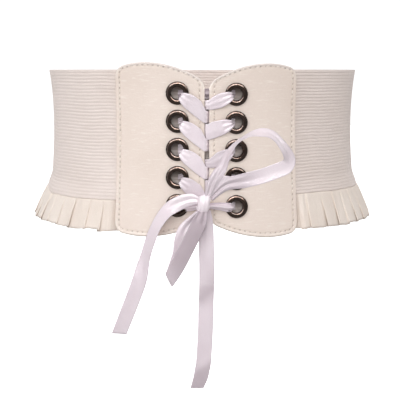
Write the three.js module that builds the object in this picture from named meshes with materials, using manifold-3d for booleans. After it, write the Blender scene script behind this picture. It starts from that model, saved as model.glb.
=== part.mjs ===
// Waist belt with a laced front: a ribbed elastic band, two faux-leather panels with arched
// ends, ten eyelets, a satin ribbon laced through them and tied in a bow, and a pleated ruffle.
// Millimetres, +Z up, +X to the viewer's right, the front faces -Y. The origin is on the axis of
// the waist, and z = 0 lies near the narrowest level.
import * as THREE from "three";
import Module from "manifold-3d";
import { mergeVertices } from "three/addons/utils/BufferGeometryUtils.js";

const wasm = await Module();
wasm.setup();

// Driving dimensions. The waist is an ellipse at the level narrowZ, and it flares by flare.above
// or flare.below at flare.reach from that level, less at the front than at the sides.
const waist = { halfWidth: 130, halfDepth: 95, narrowZ: 5 };
const flare = { above: 4.3, below: 2.5, reach: 50, frontShare: 0.4 };
const clearance = 0.4;

const panel = {
  width: 72.5, wall: 2, gap: 3.8, crownAt: 48, cornerRadius: 6,
  topCrown: 55.3, topInnerDrop: 15, topOuterDrop: 4.8,
  bottomCrown: -83.7, bottomInnerDrop: 12.6, bottomOuterDrop: 4,
  rise: { left: 0.5, right: -0.5 },
  columns: 11, rows: 10, cornerShares: [0, 0.12, 0.45, 1],
};
const band = { wall: 1.8, topZ: 50, endAt: 56, columns: 88, rows: 5 };
const insert = {
  wall: 1.5, depth: 5.6, deepTo: 33, rampTo: 38, halfWidth: 47, columns: 6, rows: 8,
  belowTop: 9.3, aboveBottom: 6,
};
const eyelet = {
  rows: 5, topZ: 30.8, pitch: 22.34, fromCentre: 23.5, segments: 16,
  boreRadius: 4.95, barrelWall: 0.5, flangeRadius: 9.25, flangeHeight: 2.05,
  washerRadius: 8.2, washerWall: 0.5, washerSag: 0.25,
};
const ribbon = { width: 11.9, wall: 1 };
const ruffle = {
  wall: 1.1, tuck: 4, endAt: 70, heldTo: 73.5, freeFrom: 80, pleats: 44, steps: 3,
  pleatDepth: 1.2, flareFront: 6, flareSide: 10, frontCurve: 1.2, sideCurve: 0.8,
  bulgeTop: 2.2, bulgeHem: 0.3,
};
// How far the band's lower edge turns out at the sides, to what height above the seam, and
// between which distances from the front it starts.
const turnOut = { by: 2.6, height: 14, from: 75, full: 88 };

// Height of the band's lower edge (seam) and of the ruffle's hem, by the angle round the waist:
// 0 is the front, +90 is the +X side. The left front hangs lower than the right.
const lowerEdges = [
  { angle: -180, seam: -47, hem: -72 },
  { angle: -95, seam: -47, hem: -71 },
  { angle: -72, seam: -53.5, hem: -75 },
  { angle: -50, seam: -55, hem: -78.5 },
  { angle: -30, seam: -55, hem: -80 },
  { angle: 30, seam: -50.5, hem: -78.5 },
  { angle: 50, seam: -49.5, hem: -77.5 },
  { angle: 72, seam: -48.5, hem: -75.5 },
  { angle: 95, seam: -46.5, hem: -71 },
  { angle: 180, seam: -47, hem: -72 },
];

const finishes = {
  elastic: new THREE.MeshStandardMaterial({ color: 0xe9ddd8, roughness: 0.9, metalness: 0 }),
  leather: new THREE.MeshStandardMaterial({ color: 0xebdfd3, roughness: 0.55, metalness: 0 }),
  ruffle: new THREE.MeshStandardMaterial({ color: 0xeee2d8, roughness: 0.85, metalness: 0 }),
  satin: new THREE.MeshStandardMaterial({ color: 0xe9e2ee, roughness: 0.35, metalness: 0 }),
  metal: new THREE.MeshStandardMaterial({ color: 0x2b211c, roughness: 0.3, metalness: 0.9 }),
};

const belt = new THREE.Group();

function addMesh(name, geometry, finish) {
  const mesh = new THREE.Mesh(geometry, finish);
  mesh.name = name;
  belt.add(mesh);
  return mesh;
}

const lerp = THREE.MathUtils.lerp;
const degrees = THREE.MathUtils.degToRad;

// Smooth value between table rows: a cosine step from each row to the next.
function fromTable(rows, key, value, at) {
  const next = rows.findIndex((row) => row[key] >= at);
  if (next <= 0) return rows[next < 0 ? rows.length - 1 : 0][value];
  const low = rows[next - 1];
  const high = rows[next];
  const t = (at - low[key]) / (high[key] - low[key]);
  return lerp(low[value], high[value], (1 - Math.cos(Math.PI * t)) / 2);
}

// Arc length round the ellipse at the narrowest level, measured from the front, by angle.
const arcSteps = 1440;
const arcLength = [0];
for (let i = 1; i <= arcSteps; i += 1) {
  const a = (Math.PI * (i - 0.5)) / arcSteps;
  const speed = Math.hypot(waist.halfWidth * Math.cos(a), waist.halfDepth * Math.sin(a));
  arcLength.push(arcLength[i - 1] + (speed * Math.PI) / arcSteps);
}
const halfRound = arcLength[arcSteps];

function angleAt(s) {
  const length = Math.min(Math.abs(s), halfRound);
  let low = 0;
  let high = arcSteps;
  while (high - low > 1) {
    const middle = (low + high) >> 1;
    if (arcLength[middle] > length) high = middle;
    else low = middle;
  }
  const t = (length - arcLength[low]) / (arcLength[high] - arcLength[low]);
  return (Math.sign(s) * Math.PI * (low + t)) / arcSteps;
}

// Outward direction of the waist's surface s mm round from the front.
function outwardAt(s) {
  const a = angleAt(s);
  const across = Math.sin(a) / waist.halfWidth;
  const ahead = -Math.cos(a) / waist.halfDepth;
  return new THREE.Vector3(across, ahead, 0).normalize();
}

// Point s mm round from the front, at height z, out mm outside the panels' outer face.
function onWaist(s, z, out) {
  const a = angleAt(s);
  const t = (z - waist.narrowZ) / flare.reach;
  const share = lerp(flare.frontShare, 1, Math.sin(a) ** 2);
  const swell = (t > 0 ? flare.above : flare.below) * t * t * share;
  const base = new THREE.Vector3(waist.halfWidth * Math.sin(a), -waist.halfDepth * Math.cos(a), z);
  return base.addScaledVector(outwardAt(s), out + swell);
}

// Closed solid between two grids of points, face(i, j) and back(i, j), joined round their rims.
function gridSolid(columns, rows, face, back) {
  const positions = [];
  const indices = [];
  for (const side of [face, back]) {
    for (let i = 0; i <= columns; i += 1) {
      for (let j = 0; j <= rows; j += 1) positions.push(...side(i, j).toArray());
    }
  }
  const perSide = (columns + 1) * (rows + 1);
  const at = (side, i, j) => side * perSide + i * (rows + 1) + j;
  const quad = (a, b, c, d) => indices.push(a, b, c, a, c, d);
  for (let i = 0; i < columns; i += 1) {
    for (let j = 0; j < rows; j += 1) {
      quad(at(0, i, j), at(0, i + 1, j), at(0, i + 1, j + 1), at(0, i, j + 1));
      quad(at(1, i, j), at(1, i, j + 1), at(1, i + 1, j + 1), at(1, i + 1, j));
    }
    quad(at(1, i, 0), at(1, i + 1, 0), at(0, i + 1, 0), at(0, i, 0));
    quad(at(0, i, rows), at(0, i + 1, rows), at(1, i + 1, rows), at(1, i, rows));
  }
  for (let j = 0; j < rows; j += 1) {
    quad(at(0, 0, j), at(0, 0, j + 1), at(1, 0, j + 1), at(1, 0, j));
    quad(at(1, columns, j), at(1, columns, j + 1), at(0, columns, j + 1), at(0, columns, j));
  }
  const geometry = new THREE.BufferGeometry();
  geometry.setAttribute("position", new THREE.Float32BufferAttribute(positions, 3));
  geometry.setIndex(indices);
  return facingOut(geometry);
}

// Turns the faces round when the signed volume is negative.
function facingOut(geometry) {
  const point = geometry.getAttribute("position");
  const index = geometry.getIndex();
  const [a, b, c] = [new THREE.Vector3(), new THREE.Vector3(), new THREE.Vector3()];
  let volume = 0;
  for (let i = 0; i < index.count; i += 3) {
    a.fromBufferAttribute(point, index.getX(i));
    b.fromBufferAttribute(point, index.getX(i + 1));
    c.fromBufferAttribute(point, index.getX(i + 2));
    volume += a.dot(b.cross(c));
  }
  if (volume < 0) {
    for (let i = 0; i < index.count; i += 3) {
      const first = index.getX(i);
      index.setX(i, index.getX(i + 2));
      index.setX(i + 2, first);
    }
  }
  return geometry;
}

// Band of cloth round the waist from s = from to s = to: columns at the listed places, rows
// shared between the two heights, outer face at out(s, v) and the wall inside it.
function waistSheet(places, rows, heights, out, wall) {
  const point = (i, j, inward) => {
    const s = places[i];
    const [low, high] = heights(s);
    const v = j / rows;
    return onWaist(s, lerp(low, high, v), out(s, v) - inward);
  };
  return gridSolid(
    places.length - 1, rows, (i, j) => point(i, j, 0), (i, j) => point(i, j, wall),
  );
}

function evenly(from, to, steps) {
  return Array.from({ length: steps + 1 }, (_, i) => lerp(from, to, i / steps));
}

// Height lost to the rounded corner, as a quarter circle, at a distance u from the panel's side.
function cornerDrop(u) {
  const r = panel.cornerRadius;
  return u >= r ? 0 : r - Math.sqrt(r * r - (r - u) * (r - u));
}

// One end of a panel, u mm out from its inner edge: two parabolas that meet at the crown.
function panelEnd(u, crown, innerDrop, outerDrop) {
  const outside = u > panel.crownAt;
  const t = outside ? (u - panel.crownAt) / (panel.width - panel.crownAt) : 1 - u / panel.crownAt;
  const corners = cornerDrop(u) + cornerDrop(panel.width - u);
  return Math.abs(crown) - (outside ? outerDrop : innerDrop) * t * t - corners;
}

function panelTop(u) {
  return panelEnd(u, panel.topCrown, panel.topInnerDrop, panel.topOuterDrop);
}

function panelBottom(u) {
  return -panelEnd(u, panel.bottomCrown, panel.bottomInnerDrop, panel.bottomOuterDrop);
}

function toSolid(geometry) {
  const bare = geometry.clone();
  bare.deleteAttribute("normal");
  bare.deleteAttribute("uv");
  const merged = mergeVertices(bare, 1e-4);
  return new wasm.Manifold(new wasm.Mesh({
    numProp: 3,
    vertProperties: Float32Array.from(merged.getAttribute("position").array),
    triVerts: Uint32Array.from(merged.getIndex().array),
  }));
}

function toGeometry(solid) {
  const mesh = solid.getMesh();
  const geometry = new THREE.BufferGeometry();
  geometry.setAttribute("position", new THREE.BufferAttribute(mesh.vertProperties, 3));
  geometry.setIndex(new THREE.BufferAttribute(mesh.triVerts, 1));
  return geometry;
}

// Turns a shape made along +Y so that +Y points square out of the waist's surface at s, z.
function setOnWaist(geometry, s, z) {
  const foot = onWaist(s, z, 0);
  const round = onWaist(s + 1, z, 0).sub(onWaist(s - 1, z, 0));
  const up = onWaist(s, z + 1, 0).sub(onWaist(s, z - 1, 0));
  const square = round.cross(up).normalize();
  const turn = new THREE.Quaternion().setFromUnitVectors(new THREE.Vector3(0, 1, 0), square);
  return geometry.clone().applyQuaternion(turn).translate(foot.x, foot.y, foot.z);
}

const sides = { left: -1, right: 1 };

function eyeletZ(side, row) {
  return eyelet.topZ - (row - 1) * eyelet.pitch + panel.rise[side];
}

// Front panel: a curved wall with rounded corners and arched ends, cut by five round holes.
function makePanel(side) {
  const corner = panel.cornerRadius;
  const inCorner = panel.cornerShares.map((t) => t * corner);
  const outCorner = inCorner.map((u) => panel.width - u).reverse();
  const between = evenly(corner, panel.width - corner, panel.columns).slice(1, -1);
  const places = [...inCorner, ...between, ...outCorner].map((u) => u + panel.gap / 2);
  const heights = (s) => {
    const u = Math.abs(s) - panel.gap / 2;
    return [panelBottom(u) + panel.rise[side], panelTop(u) + panel.rise[side]];
  };
  const wall = waistSheet(
    places.map((s) => s * sides[side]), panel.rows, heights, () => 0, panel.wall,
  );
  const holeRadius = eyelet.boreRadius + eyelet.barrelWall + clearance;
  const punch = new THREE.CylinderGeometry(holeRadius, holeRadius, 6 * panel.wall, eyelet.segments);
  let solid = toSolid(wall);
  for (let row = 1; row <= eyelet.rows; row += 1) {
    const hole = setOnWaist(punch, eyelet.fromCentre * sides[side], eyeletZ(side, row));
    solid = solid.subtract(toSolid(hole));
  }
  return toGeometry(solid);
}

// Eyelet: rolled flange in front of the panel, barrel through it and washer behind it, set back
// by washerSag more because the panel's inner face curves towards it.
function makeEyelet(side, row) {
  const bore = eyelet.boreRadius;
  const barrel = bore + eyelet.barrelWall;
  const back = -panel.wall - clearance - eyelet.washerSag;
  const profile = [
    [bore, back - eyelet.washerWall],
    [eyelet.washerRadius, back - eyelet.washerWall],
    [eyelet.washerRadius, back],
    [barrel, back],
    [barrel, clearance],
    [eyelet.flangeRadius, clearance],
    [eyelet.flangeRadius - 0.7, 1.4],
    [bore + 2, eyelet.flangeHeight],
    [bore, 1.0],
    [bore, back - eyelet.washerWall],
  ].map(([radius, out]) => new THREE.Vector2(radius, out));
  const lathe = new THREE.LatheGeometry(profile, eyelet.segments);
  return setOnWaist(lathe, eyelet.fromCentre * sides[side], eyeletZ(side, row));
}

// Flat ribbon through the stations: each has a centre and half its width as a vector, and the
// wall's thickness is laid square to the path and to the width.
function ribbonSolid(stations) {
  const last = stations.length - 1;
  const normals = stations.map((station, i) => {
    const ahead = stations[Math.min(i + 1, last)].centre;
    const behind = stations[Math.max(i - 1, 0)].centre;
    return ahead.clone().sub(behind).cross(station.half).normalize();
  });
  const point = (i, j, lift) => stations[i].centre.clone()
    .addScaledVector(stations[i].half, j === 0 ? -1 : 1)
    .addScaledVector(normals[i], lift);
  const half = ribbon.wall / 2;
  return gridSolid(last, 1, (i, j) => point(i, j, half), (i, j) => point(i, j, -half));
}

// Station of a ribbon that lies along the waist, from the s and z of the ends of its width line.
function stationOnWaist(top, bottom, out) {
  const high = onWaist(top[0], top[1], out);
  const low = onWaist(bottom[0], bottom[1], out);
  return { centre: high.clone().add(low).multiplyScalar(0.5), half: high.sub(low).multiplyScalar(0.5) };
}

// A lacing stretch starts in its eyelet's bore and goes over the flange and its own panel. Its
// middle lies toGap mm from the eyelet's centre towards the gap and below mm lower, and its
// width line leans by turn degrees from upright, its upper end towards the gap.
const overPanel = {
  left: [
    { toGap: 2.8, below: 1.9, out: -3.6, width: 4.6, turn: 35 },
    { toGap: 2.8, below: 1.9, out: 1.8, width: 4.4, turn: 35 },
    { toGap: 3.6, below: 2.5, out: 3.0, width: 5.4, turn: 35 },
    { toGap: 5.7, below: 4.0, out: 3.1, width: 8.4, turn: 35 },
    { toGap: 7.8, below: 5.5, out: 2.8, width: 10.6, turn: 35 },
    { toGap: 9.7, below: 6.9, out: 1.4, width: 11.5, turn: 35 },
    { toGap: 12.5, below: 9.1, out: 1.0, width: 11.9, turn: 32 },
    { toGap: 16.5, below: 12.4, out: 0.95, width: 12.6, turn: 20 },
    { toGap: 20.7, below: 16.3, out: 0.9, width: 13.4, turn: 0 },
    { toGap: 21.6, below: 17.2, out: 0.85, width: 11.4, turn: 0 },
    { toGap: 22.2, below: 18.1, out: 0.55, width: 9.6, turn: 0 },
  ],
  right: [
    { toGap: 3.3, below: 0.9, out: -3.6, width: 4.6, turn: 15 },
    { toGap: 3.3, below: 0.9, out: 1.8, width: 4.4, turn: 15 },
    { toGap: 4.2, below: 1.2, out: 3.0, width: 5.4, turn: 15 },
    { toGap: 6.7, below: 2.3, out: 3.1, width: 8.4, turn: 14 },
    { toGap: 9.0, below: 3.3, out: 2.8, width: 10.2, turn: 12 },
    { toGap: 11.2, below: 4.2, out: 1.4, width: 11, turn: 12 },
    { toGap: 14, below: 5.3, out: 1.0, width: 11.6, turn: 10 },
    { toGap: 17.5, below: 6.6, out: 0.95, width: 11.6, turn: 6 },
    { toGap: 20.7, below: 7.7, out: 0.9, width: 10, turn: 0 },
    { toGap: 21.6, below: 8.1, out: 0.85, width: 8.4, turn: 0 },
    { toGap: 22.2, below: 8.3, out: 0.55, width: 7.4, turn: 0 },
  ],
};
// From the gap between the panels to the back of the other panel's next eyelet: across is
// measured from the middle of the gap, and fall is the share of the way down.
const behindPanel = {
  left: [
    { across: 1.3, out: -2.6, fall: 0, width: 9.6 },
    { across: 1.9, out: -2.85, fall: 0, width: 9.6 },
    { across: 6, out: -3.2, fall: 0.1, width: 9 },
    { across: 13, out: -4.3, fall: 0.5, width: 7 },
    { across: 18, out: -4.5, fall: 0.85, width: 6 },
    { across: 23.4, out: -4.5, fall: 1, width: 5 },
  ],
  right: [
    { across: 1.3, out: -2.6, fall: 0, width: 7.4 },
    { across: 1.9, out: -2.85, fall: 0, width: 7.4 },
    { across: 6, out: -3.2, fall: 0.1, width: 7.4 },
    { across: 13, out: -4.3, fall: 0.5, width: 7 },
    { across: 18, out: -4.5, fall: 0.85, width: 6 },
    { across: 23.4, out: -4.5, fall: 1, width: 5 },
  ],
};

// Station of a stretch that starts at one eyelet.
function stationFrom(side, row, { toGap, below, out, width, turn }) {
  const aside = (width / 2) * Math.sin(degrees(turn));
  const upright = (width / 2) * Math.cos(degrees(turn));
  const z = eyeletZ(side, row) - below;
  const top = [sides[side] * (eyelet.fromCentre - toGap - aside), z + upright];
  const bottom = [sides[side] * (eyelet.fromCentre - toGap + aside), z - upright];
  return stationOnWaist(top, bottom, out);
}

function makeCrossing(side, row) {
  const other = side === "left" ? "right" : "left";
  const rows = overPanel[side];
  const gapZ = eyeletZ(side, row) - rows[rows.length - 1].below;
  const endZ = eyeletZ(other, row + 1);
  const behind = behindPanel[side].map(({ across, out, fall, width }) => {
    const s = sides[other] * across;
    const z = lerp(gapZ, endZ, fall);
    return stationOnWaist([s, z + width / 2], [s, z - width / 2], out);
  });
  return ribbonSolid([...rows.map((place) => stationFrom(side, row, place)), ...behind]);
}

// The ribbon's stretch behind both panels, from the back of one top eyelet to the other.
const topBarPlaces = [
  { across: -23.4, width: 5 },
  { across: -14, width: 7 },
  { across: 0, width: 7.6 },
  { across: 14, width: 7 },
  { across: 23.4, width: 5 },
];

function makeTopBar() {
  return ribbonSolid(topBarPlaces.map(({ across, width }) => stationOnWaist(
    [across, eyelet.topZ + width / 2], [across, eyelet.topZ - width / 2], -4.5,
  )));
}

// The knot: its centre and half its size along each axis.
const knot = {
  x: -1.5, z: -56, front: 103, halfWidth: 4.4, halfDepth: 3.4, halfHeight: 4.6,
  segments: 16, rings: 10,
};

// From the lowest eyelets to the knot: over the flange, then away from the panel.
const toKnot = {
  left: [
    { toGap: 3.2, below: 0.4, out: -3.6, width: 4.6, turn: 0 },
    { toGap: 3.2, below: 0.4, out: 1.8, width: 4.4, turn: 0 },
    { toGap: 4.2, below: 0.7, out: 3.0, width: 5.4, turn: 0 },
    { toGap: 6.9, below: 0.7, out: 3.1, width: 7, turn: 0 },
    { toGap: 9.3, below: 0.6, out: 2.9, width: 7, turn: 0 },
    { toGap: 13.5, below: 0.5, out: 2.6, width: 6, turn: 0 },
    { toGap: 16.9, below: 0.1, out: 4.2, width: 4, turn: 0 },
  ],
  right: [
    { toGap: 3.2, below: 0.4, out: -3.6, width: 4.6, turn: 0 },
    { toGap: 3.2, below: 0.4, out: 1.8, width: 4.4, turn: 0 },
    { toGap: 4.2, below: 0.4, out: 3.0, width: 5.4, turn: 0 },
    { toGap: 6.9, below: 0.2, out: 3.1, width: 6.8, turn: 0 },
    { toGap: 9.3, below: 0, out: 2.9, width: 6.8, turn: 0 },
    { toGap: 14, below: -0.6, out: 2.8, width: 6, turn: 0 },
    { toGap: 20.2, below: -1.1, out: 5.0, width: 4, turn: 0 },
  ],
};

function makeToKnot(side) {
  return ribbonSolid(toKnot[side].map((place) => stationFrom(side, eyelet.rows, place)));
}

// The bow's stretches. x, z and front place the ribbon's middle (front is the distance ahead of
// the axis), lean is the angle of its width line in the front view, from +X towards +Z, tilt
// turns that line out of the front view, and spread is the share of the full width: less where
// the ribbon is gathered.
const bow = {
  bow_loop_right: [
    { x: 0, z: -51.3, front: 104.4, lean: -27, tilt: 0, spread: 0.42 },
    { x: 4.4, z: -38.6, front: 105.6, lean: -32, tilt: 12, spread: 0.74 },
    { x: 11.6, z: -26.8, front: 106.2, lean: -40, tilt: 35, spread: 0.92 },
    { x: 16.2, z: -17.4, front: 106.2, lean: -46, tilt: 60, spread: 1 },
    { x: 22.9, z: -8.4, front: 106, lean: -50, tilt: 76, spread: 1 },
    { x: 32.4, z: -2.4, front: 104.6, lean: -66, tilt: 70, spread: 1 },
    { x: 41, z: -0.2, front: 103, lean: -82, tilt: 60, spread: 1 },
    { x: 48.1, z: -0.6, front: 101, lean: -100, tilt: 60, spread: 1 },
    { x: 54.6, z: -3.6, front: 98.8, lean: -120, tilt: 64, spread: 1 },
    { x: 60.3, z: -9.2, front: 96, lean: -136, tilt: 70, spread: 1 },
    { x: 65.2, z: -15.6, front: 93, lean: -152, tilt: 70, spread: 1 },
    { x: 67.2, z: -22, front: 90.8, lean: -190, tilt: 56, spread: 1 },
    { x: 63.4, z: -27.6, front: 90.4, lean: -240, tilt: 14, spread: 1 },
    { x: 54.6, z: -31.2, front: 92.6, lean: -250, tilt: 0, spread: 1 },
    { x: 42.4, z: -35, front: 96.4, lean: -254, tilt: 0, spread: 1 },
    { x: 28, z: -38.2, front: 100.2, lean: -258, tilt: 0, spread: 0.97 },
    { x: 14.2, z: -41.4, front: 102.2, lean: -250, tilt: 0, spread: 0.76 },
    { x: 4.6, z: -51.3, front: 102, lean: -230, tilt: 0, spread: 0.38 },
  ],
  bow_loop_lower: [
    { x: -3.2, z: -60.9, front: 104, lean: -24, tilt: 0, spread: 0.42 },
    { x: -6.4, z: -69.5, front: 106.5, lean: -26, tilt: 0, spread: 0.76 },
    { x: -11.4, z: -80.5, front: 108, lean: -28, tilt: 0, spread: 1 },
    { x: -17.2, z: -92, front: 108.5, lean: -30, tilt: 0, spread: 1 },
    { x: -23, z: -103.5, front: 107.5, lean: -36, tilt: 0, spread: 1 },
    { x: -28.4, z: -113.2, front: 105.5, lean: -56, tilt: 0, spread: 1 },
    { x: -30.8, z: -117, front: 103, lean: -64, tilt: 0, spread: 1 },
    { x: -28.6, z: -113.6, front: 100.6, lean: -58, tilt: 0, spread: 1 },
    { x: -24.6, z: -105.5, front: 99.8, lean: -30, tilt: 0, spread: 1 },
    { x: -21.4, z: -95.5, front: 99.8, lean: -6, tilt: 0, spread: 1 },
    { x: -20.2, z: -85.5, front: 100.2, lean: -4, tilt: 0, spread: 1 },
    { x: -17.4, z: -76.6, front: 101, lean: -28, tilt: 0, spread: 0.92 },
    { x: -12, z: -69.4, front: 102, lean: -40, tilt: 0, spread: 0.67 },
    { x: -5.2, z: -61.6, front: 103, lean: -45, tilt: 0, spread: 0.34 },
  ],
  bow_tail_left: [
    { x: -6.3, z: -53.4, front: 103.4, lean: 90, tilt: 0, spread: 0.38 },
    { x: -12, z: -52.4, front: 103.4, lean: 97, tilt: 0, spread: 0.76 },
    { x: -20.5, z: -54.6, front: 102.6, lean: 112, tilt: 0, spread: 0.92 },
    { x: -31, z: -61, front: 101.2, lean: 128, tilt: -35, spread: 1 },
    { x: -39, z: -71.5, front: 100, lean: 146, tilt: -48, spread: 1 },
    { x: -44.5, z: -84, front: 99, lean: 156, tilt: -50, spread: 1 },
    { x: -49.4, z: -100, front: 98.4, lean: 158, tilt: -48, spread: 1 },
    { x: -54.4, z: -119, front: 98, lean: 160, tilt: -12, spread: 1 },
    { x: -62, z: -139.5, front: 97.4, lean: 164, tilt: 0, spread: 1 },
    { x: -70.4, z: -161, front: 96.6, lean: 176, tilt: 0, spread: 1 },
  ],
  bow_tail_centre: [
    { x: -0.2, z: -61.1, front: 102.2, lean: 0, tilt: 0, spread: 0.42 },
    { x: -0.9, z: -72, front: 102.2, lean: 0, tilt: 0, spread: 0.8 },
    { x: -0.6, z: -88, front: 102, lean: 0, tilt: 0, spread: 1 },
    { x: -0.3, z: -112, front: 101.9, lean: 0, tilt: 6, spread: 1 },
    { x: -0.7, z: -132, front: 101.2, lean: 0, tilt: 8, spread: 1 },
    { x: -1.3, z: -155, front: 101.8, lean: -2, tilt: 5, spread: 1 },
    { x: -2.3, z: -176, front: 102.1, lean: -5, tilt: 6, spread: 1 },
    { x: -4, z: -191.5, front: 100, lean: -6, tilt: 15, spread: 1 },
    { x: -7.9, z: -206.5, front: 93.5, lean: 4, tilt: 30, spread: 1 },
  ],
};
const stepsPerRow = 2;

// Catmull-Rom value between the rows of a table, t rows from its first one.
function splineValue(rows, key, t) {
  const last = rows.length - 1;
  const i = Math.min(Math.floor(t), last - 1);
  const f = t - i;
  const [p0, p1, p2, p3] = [i - 1, i, i + 1, i + 2].map(
    (k) => rows[THREE.MathUtils.clamp(k, 0, last)][key],
  );
  const slope1 = (p2 - p0) / 2;
  const slope2 = (p3 - p1) / 2;
  const rise = p2 - p1;
  return p1 + f * (slope1 + f * (3 * rise - 2 * slope1 - slope2 + f * (slope1 + slope2 - 2 * rise)));
}

function makeBowStretch(rows) {
  const count = (rows.length - 1) * stepsPerRow;
  return ribbonSolid(evenly(0, rows.length - 1, count).map((t) => {
    const [x, z, front, lean, tilt, spread] = [
      "x", "z", "front", "lean", "tilt", "spread",
    ].map((key) => splineValue(rows, key, t));
    const seen = Math.cos(degrees(tilt));
    const half = new THREE.Vector3(
      Math.cos(degrees(lean)) * seen, -Math.sin(degrees(tilt)), Math.sin(degrees(lean)) * seen,
    ).multiplyScalar((spread * ribbon.width) / 2);
    return { centre: new THREE.Vector3(x, -front, z), half };
  }));
}

function makeKnot() {
  return new THREE.SphereGeometry(1, knot.segments, knot.rings)
    .scale(knot.halfWidth, knot.halfDepth, knot.halfHeight)
    .translate(knot.x, -knot.front, knot.z);
}

// Height of the band's seam or the ruffle's hem at s.
function edgeHeight(s, value) {
  return fromTable(lowerEdges, "angle", value, THREE.MathUtils.radToDeg(angleAt(s)));
}

// s for a distance d mm round the back from the front: past the middle of the back it is negative.
function roundTheBack(d) {
  return d <= halfRound ? d : d - 2 * halfRound;
}

// How far the cloth turns out at s, a height above the seam: most at the seam and at the sides.
function turnedOut(s, height) {
  const fade = 1 - THREE.MathUtils.smoothstep(height, 0, turnOut.height);
  const start = THREE.MathUtils.smoothstep(Math.abs(s), turnOut.from, turnOut.full);
  return turnOut.by * Math.sin(angleAt(s)) ** 2 * fade * start;
}

// Elastic band: from behind one panel's outer edge, round the back, to behind the other. Its
// lower edge turns out at the sides, where the ruffle pulls at it.
function makeBand() {
  const places = evenly(band.endAt, 2 * halfRound - band.endAt, band.columns).map(roundTheBack);
  const heights = (s) => [edgeHeight(s, "seam"), band.topZ];
  const out = (s, v) => {
    const [low, high] = heights(s);
    return turnedOut(s, v * (high - low)) - panel.wall - clearance;
  };
  return waistSheet(places, band.rows, heights, out, band.wall);
}

// Ribbed strip behind the lacing: close to the panels at its sides, deeper behind the eyelets.
function makeInsert() {
  const edge = [insert.halfWidth, insert.rampTo];
  const middle = evenly(-insert.deepTo, insert.deepTo, insert.columns);
  const places = [...edge.map((s) => -s), ...middle, ...[...edge].reverse()];
  const heights = (s) => {
    const u = Math.max(Math.abs(s) - panel.gap / 2, panel.cornerRadius);
    return [panelBottom(u) + insert.aboveBottom, panelTop(u) - insert.belowTop];
  };
  const shallow = panel.wall + clearance;
  const out = (s) => (Math.abs(s) >= insert.rampTo ? -shallow : -insert.depth);
  return waistSheet(places, insert.rows, heights, out, insert.wall);
}

// Ruffle: hangs from behind the band's lower edge and flares towards its hem in knife pleats,
// whose faces rise slowly and turn back sharply. Its ends lie flat behind the panels.
function makeRuffle() {
  const length = 2 * (halfRound - ruffle.endAt);
  const count = ruffle.pleats * ruffle.steps;
  const places = evenly(ruffle.endAt, ruffle.endAt + length, count).map(roundTheBack);
  const tucked = -panel.wall - band.wall - 3 * clearance;
  const phase = [-1, 0, 1];
  const downShares = [0, 0, 0.12, 0.5, 1];
  const point = (i, j, inward) => {
    const s = places[i];
    const seam = edgeHeight(s, "seam");
    const down = downShares[j];
    const tuck = j === 0 ? ruffle.tuck : 0;
    const z = lerp(seam + tuck, edgeHeight(s, "hem"), down);
    const side = Math.sin(angleAt(s)) ** 2;
    const curve = lerp(ruffle.frontCurve, ruffle.sideCurve, side);
    const swing = lerp(ruffle.flareFront, ruffle.flareSide, side) * down ** curve;
    const bulge = down > 0 ? lerp(ruffle.bulgeTop, ruffle.bulgeHem, down) : 0;
    const pleat = ruffle.pleatDepth * Math.sqrt(down) * phase[i % ruffle.steps];
    const free = THREE.MathUtils.smoothstep(Math.abs(s), ruffle.heldTo, ruffle.freeFrom);
    const out = tucked + turnedOut(s, tuck) + free * (swing + bulge + pleat);
    return onWaist(s, z, out - inward);
  };
  const last = downShares.length - 1;
  return gridSolid(count, last, (i, j) => point(i, j, 0), (i, j) => point(i, j, ruffle.wall));
}

addMesh("elastic_band", makeBand(), finishes.elastic);
addMesh("ruffle", makeRuffle(), finishes.ruffle);
addMesh("lacing_insert", makeInsert(), finishes.elastic);
for (const side of Object.keys(sides)) {
  addMesh(`panel_${side}`, makePanel(side), finishes.leather);
  for (let row = 1; row <= eyelet.rows; row += 1) {
    addMesh(`eyelet_${side}_${row}`, makeEyelet(side, row), finishes.metal);
    const stretch = row < eyelet.rows ? makeCrossing(side, row) : makeToKnot(side);
    addMesh(`lace_${side}_${row}`, stretch, finishes.satin);
  }
}
addMesh("lace_top_bar", makeTopBar(), finishes.satin);
addMesh("bow_knot", makeKnot(), finishes.satin);
for (const [name, rows] of Object.entries(bow)) addMesh(name, makeBowStretch(rows), finishes.satin);

export default belt;
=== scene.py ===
"""Looks of a waist belt with a laced front, round its fixed frame.

Shapes are worked out in millimetres and become metres as each mesh is made. On the waist, s is
the way round it from the middle of the front (positive towards +X), z is the height, and out is
how far a point lies outside the panels' outer face.
"""
import math

import bpy
import numpy as np
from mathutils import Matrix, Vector


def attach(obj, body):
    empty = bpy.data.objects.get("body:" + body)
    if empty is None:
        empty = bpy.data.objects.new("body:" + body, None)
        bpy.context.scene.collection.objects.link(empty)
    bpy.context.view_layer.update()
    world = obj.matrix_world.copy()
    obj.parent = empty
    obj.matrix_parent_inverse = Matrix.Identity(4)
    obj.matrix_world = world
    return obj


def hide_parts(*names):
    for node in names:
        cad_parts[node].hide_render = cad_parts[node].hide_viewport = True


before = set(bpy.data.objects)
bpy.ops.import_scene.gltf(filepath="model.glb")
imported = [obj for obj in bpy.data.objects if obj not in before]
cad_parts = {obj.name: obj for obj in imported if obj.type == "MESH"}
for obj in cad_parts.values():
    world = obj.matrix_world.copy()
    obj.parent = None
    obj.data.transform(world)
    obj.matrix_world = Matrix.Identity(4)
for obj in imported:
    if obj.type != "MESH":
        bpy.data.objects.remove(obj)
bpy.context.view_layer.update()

MM = 0.001
rng = np.random.default_rng(11)

# The waist: an ellipse at the level narrow_z that flares above and below it.
WAIST = {"half_width": 130, "half_depth": 95, "narrow_z": 5}
FLARE = {"above": 4.3, "below": 2.5, "reach": 50, "front_share": 0.4}

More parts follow.
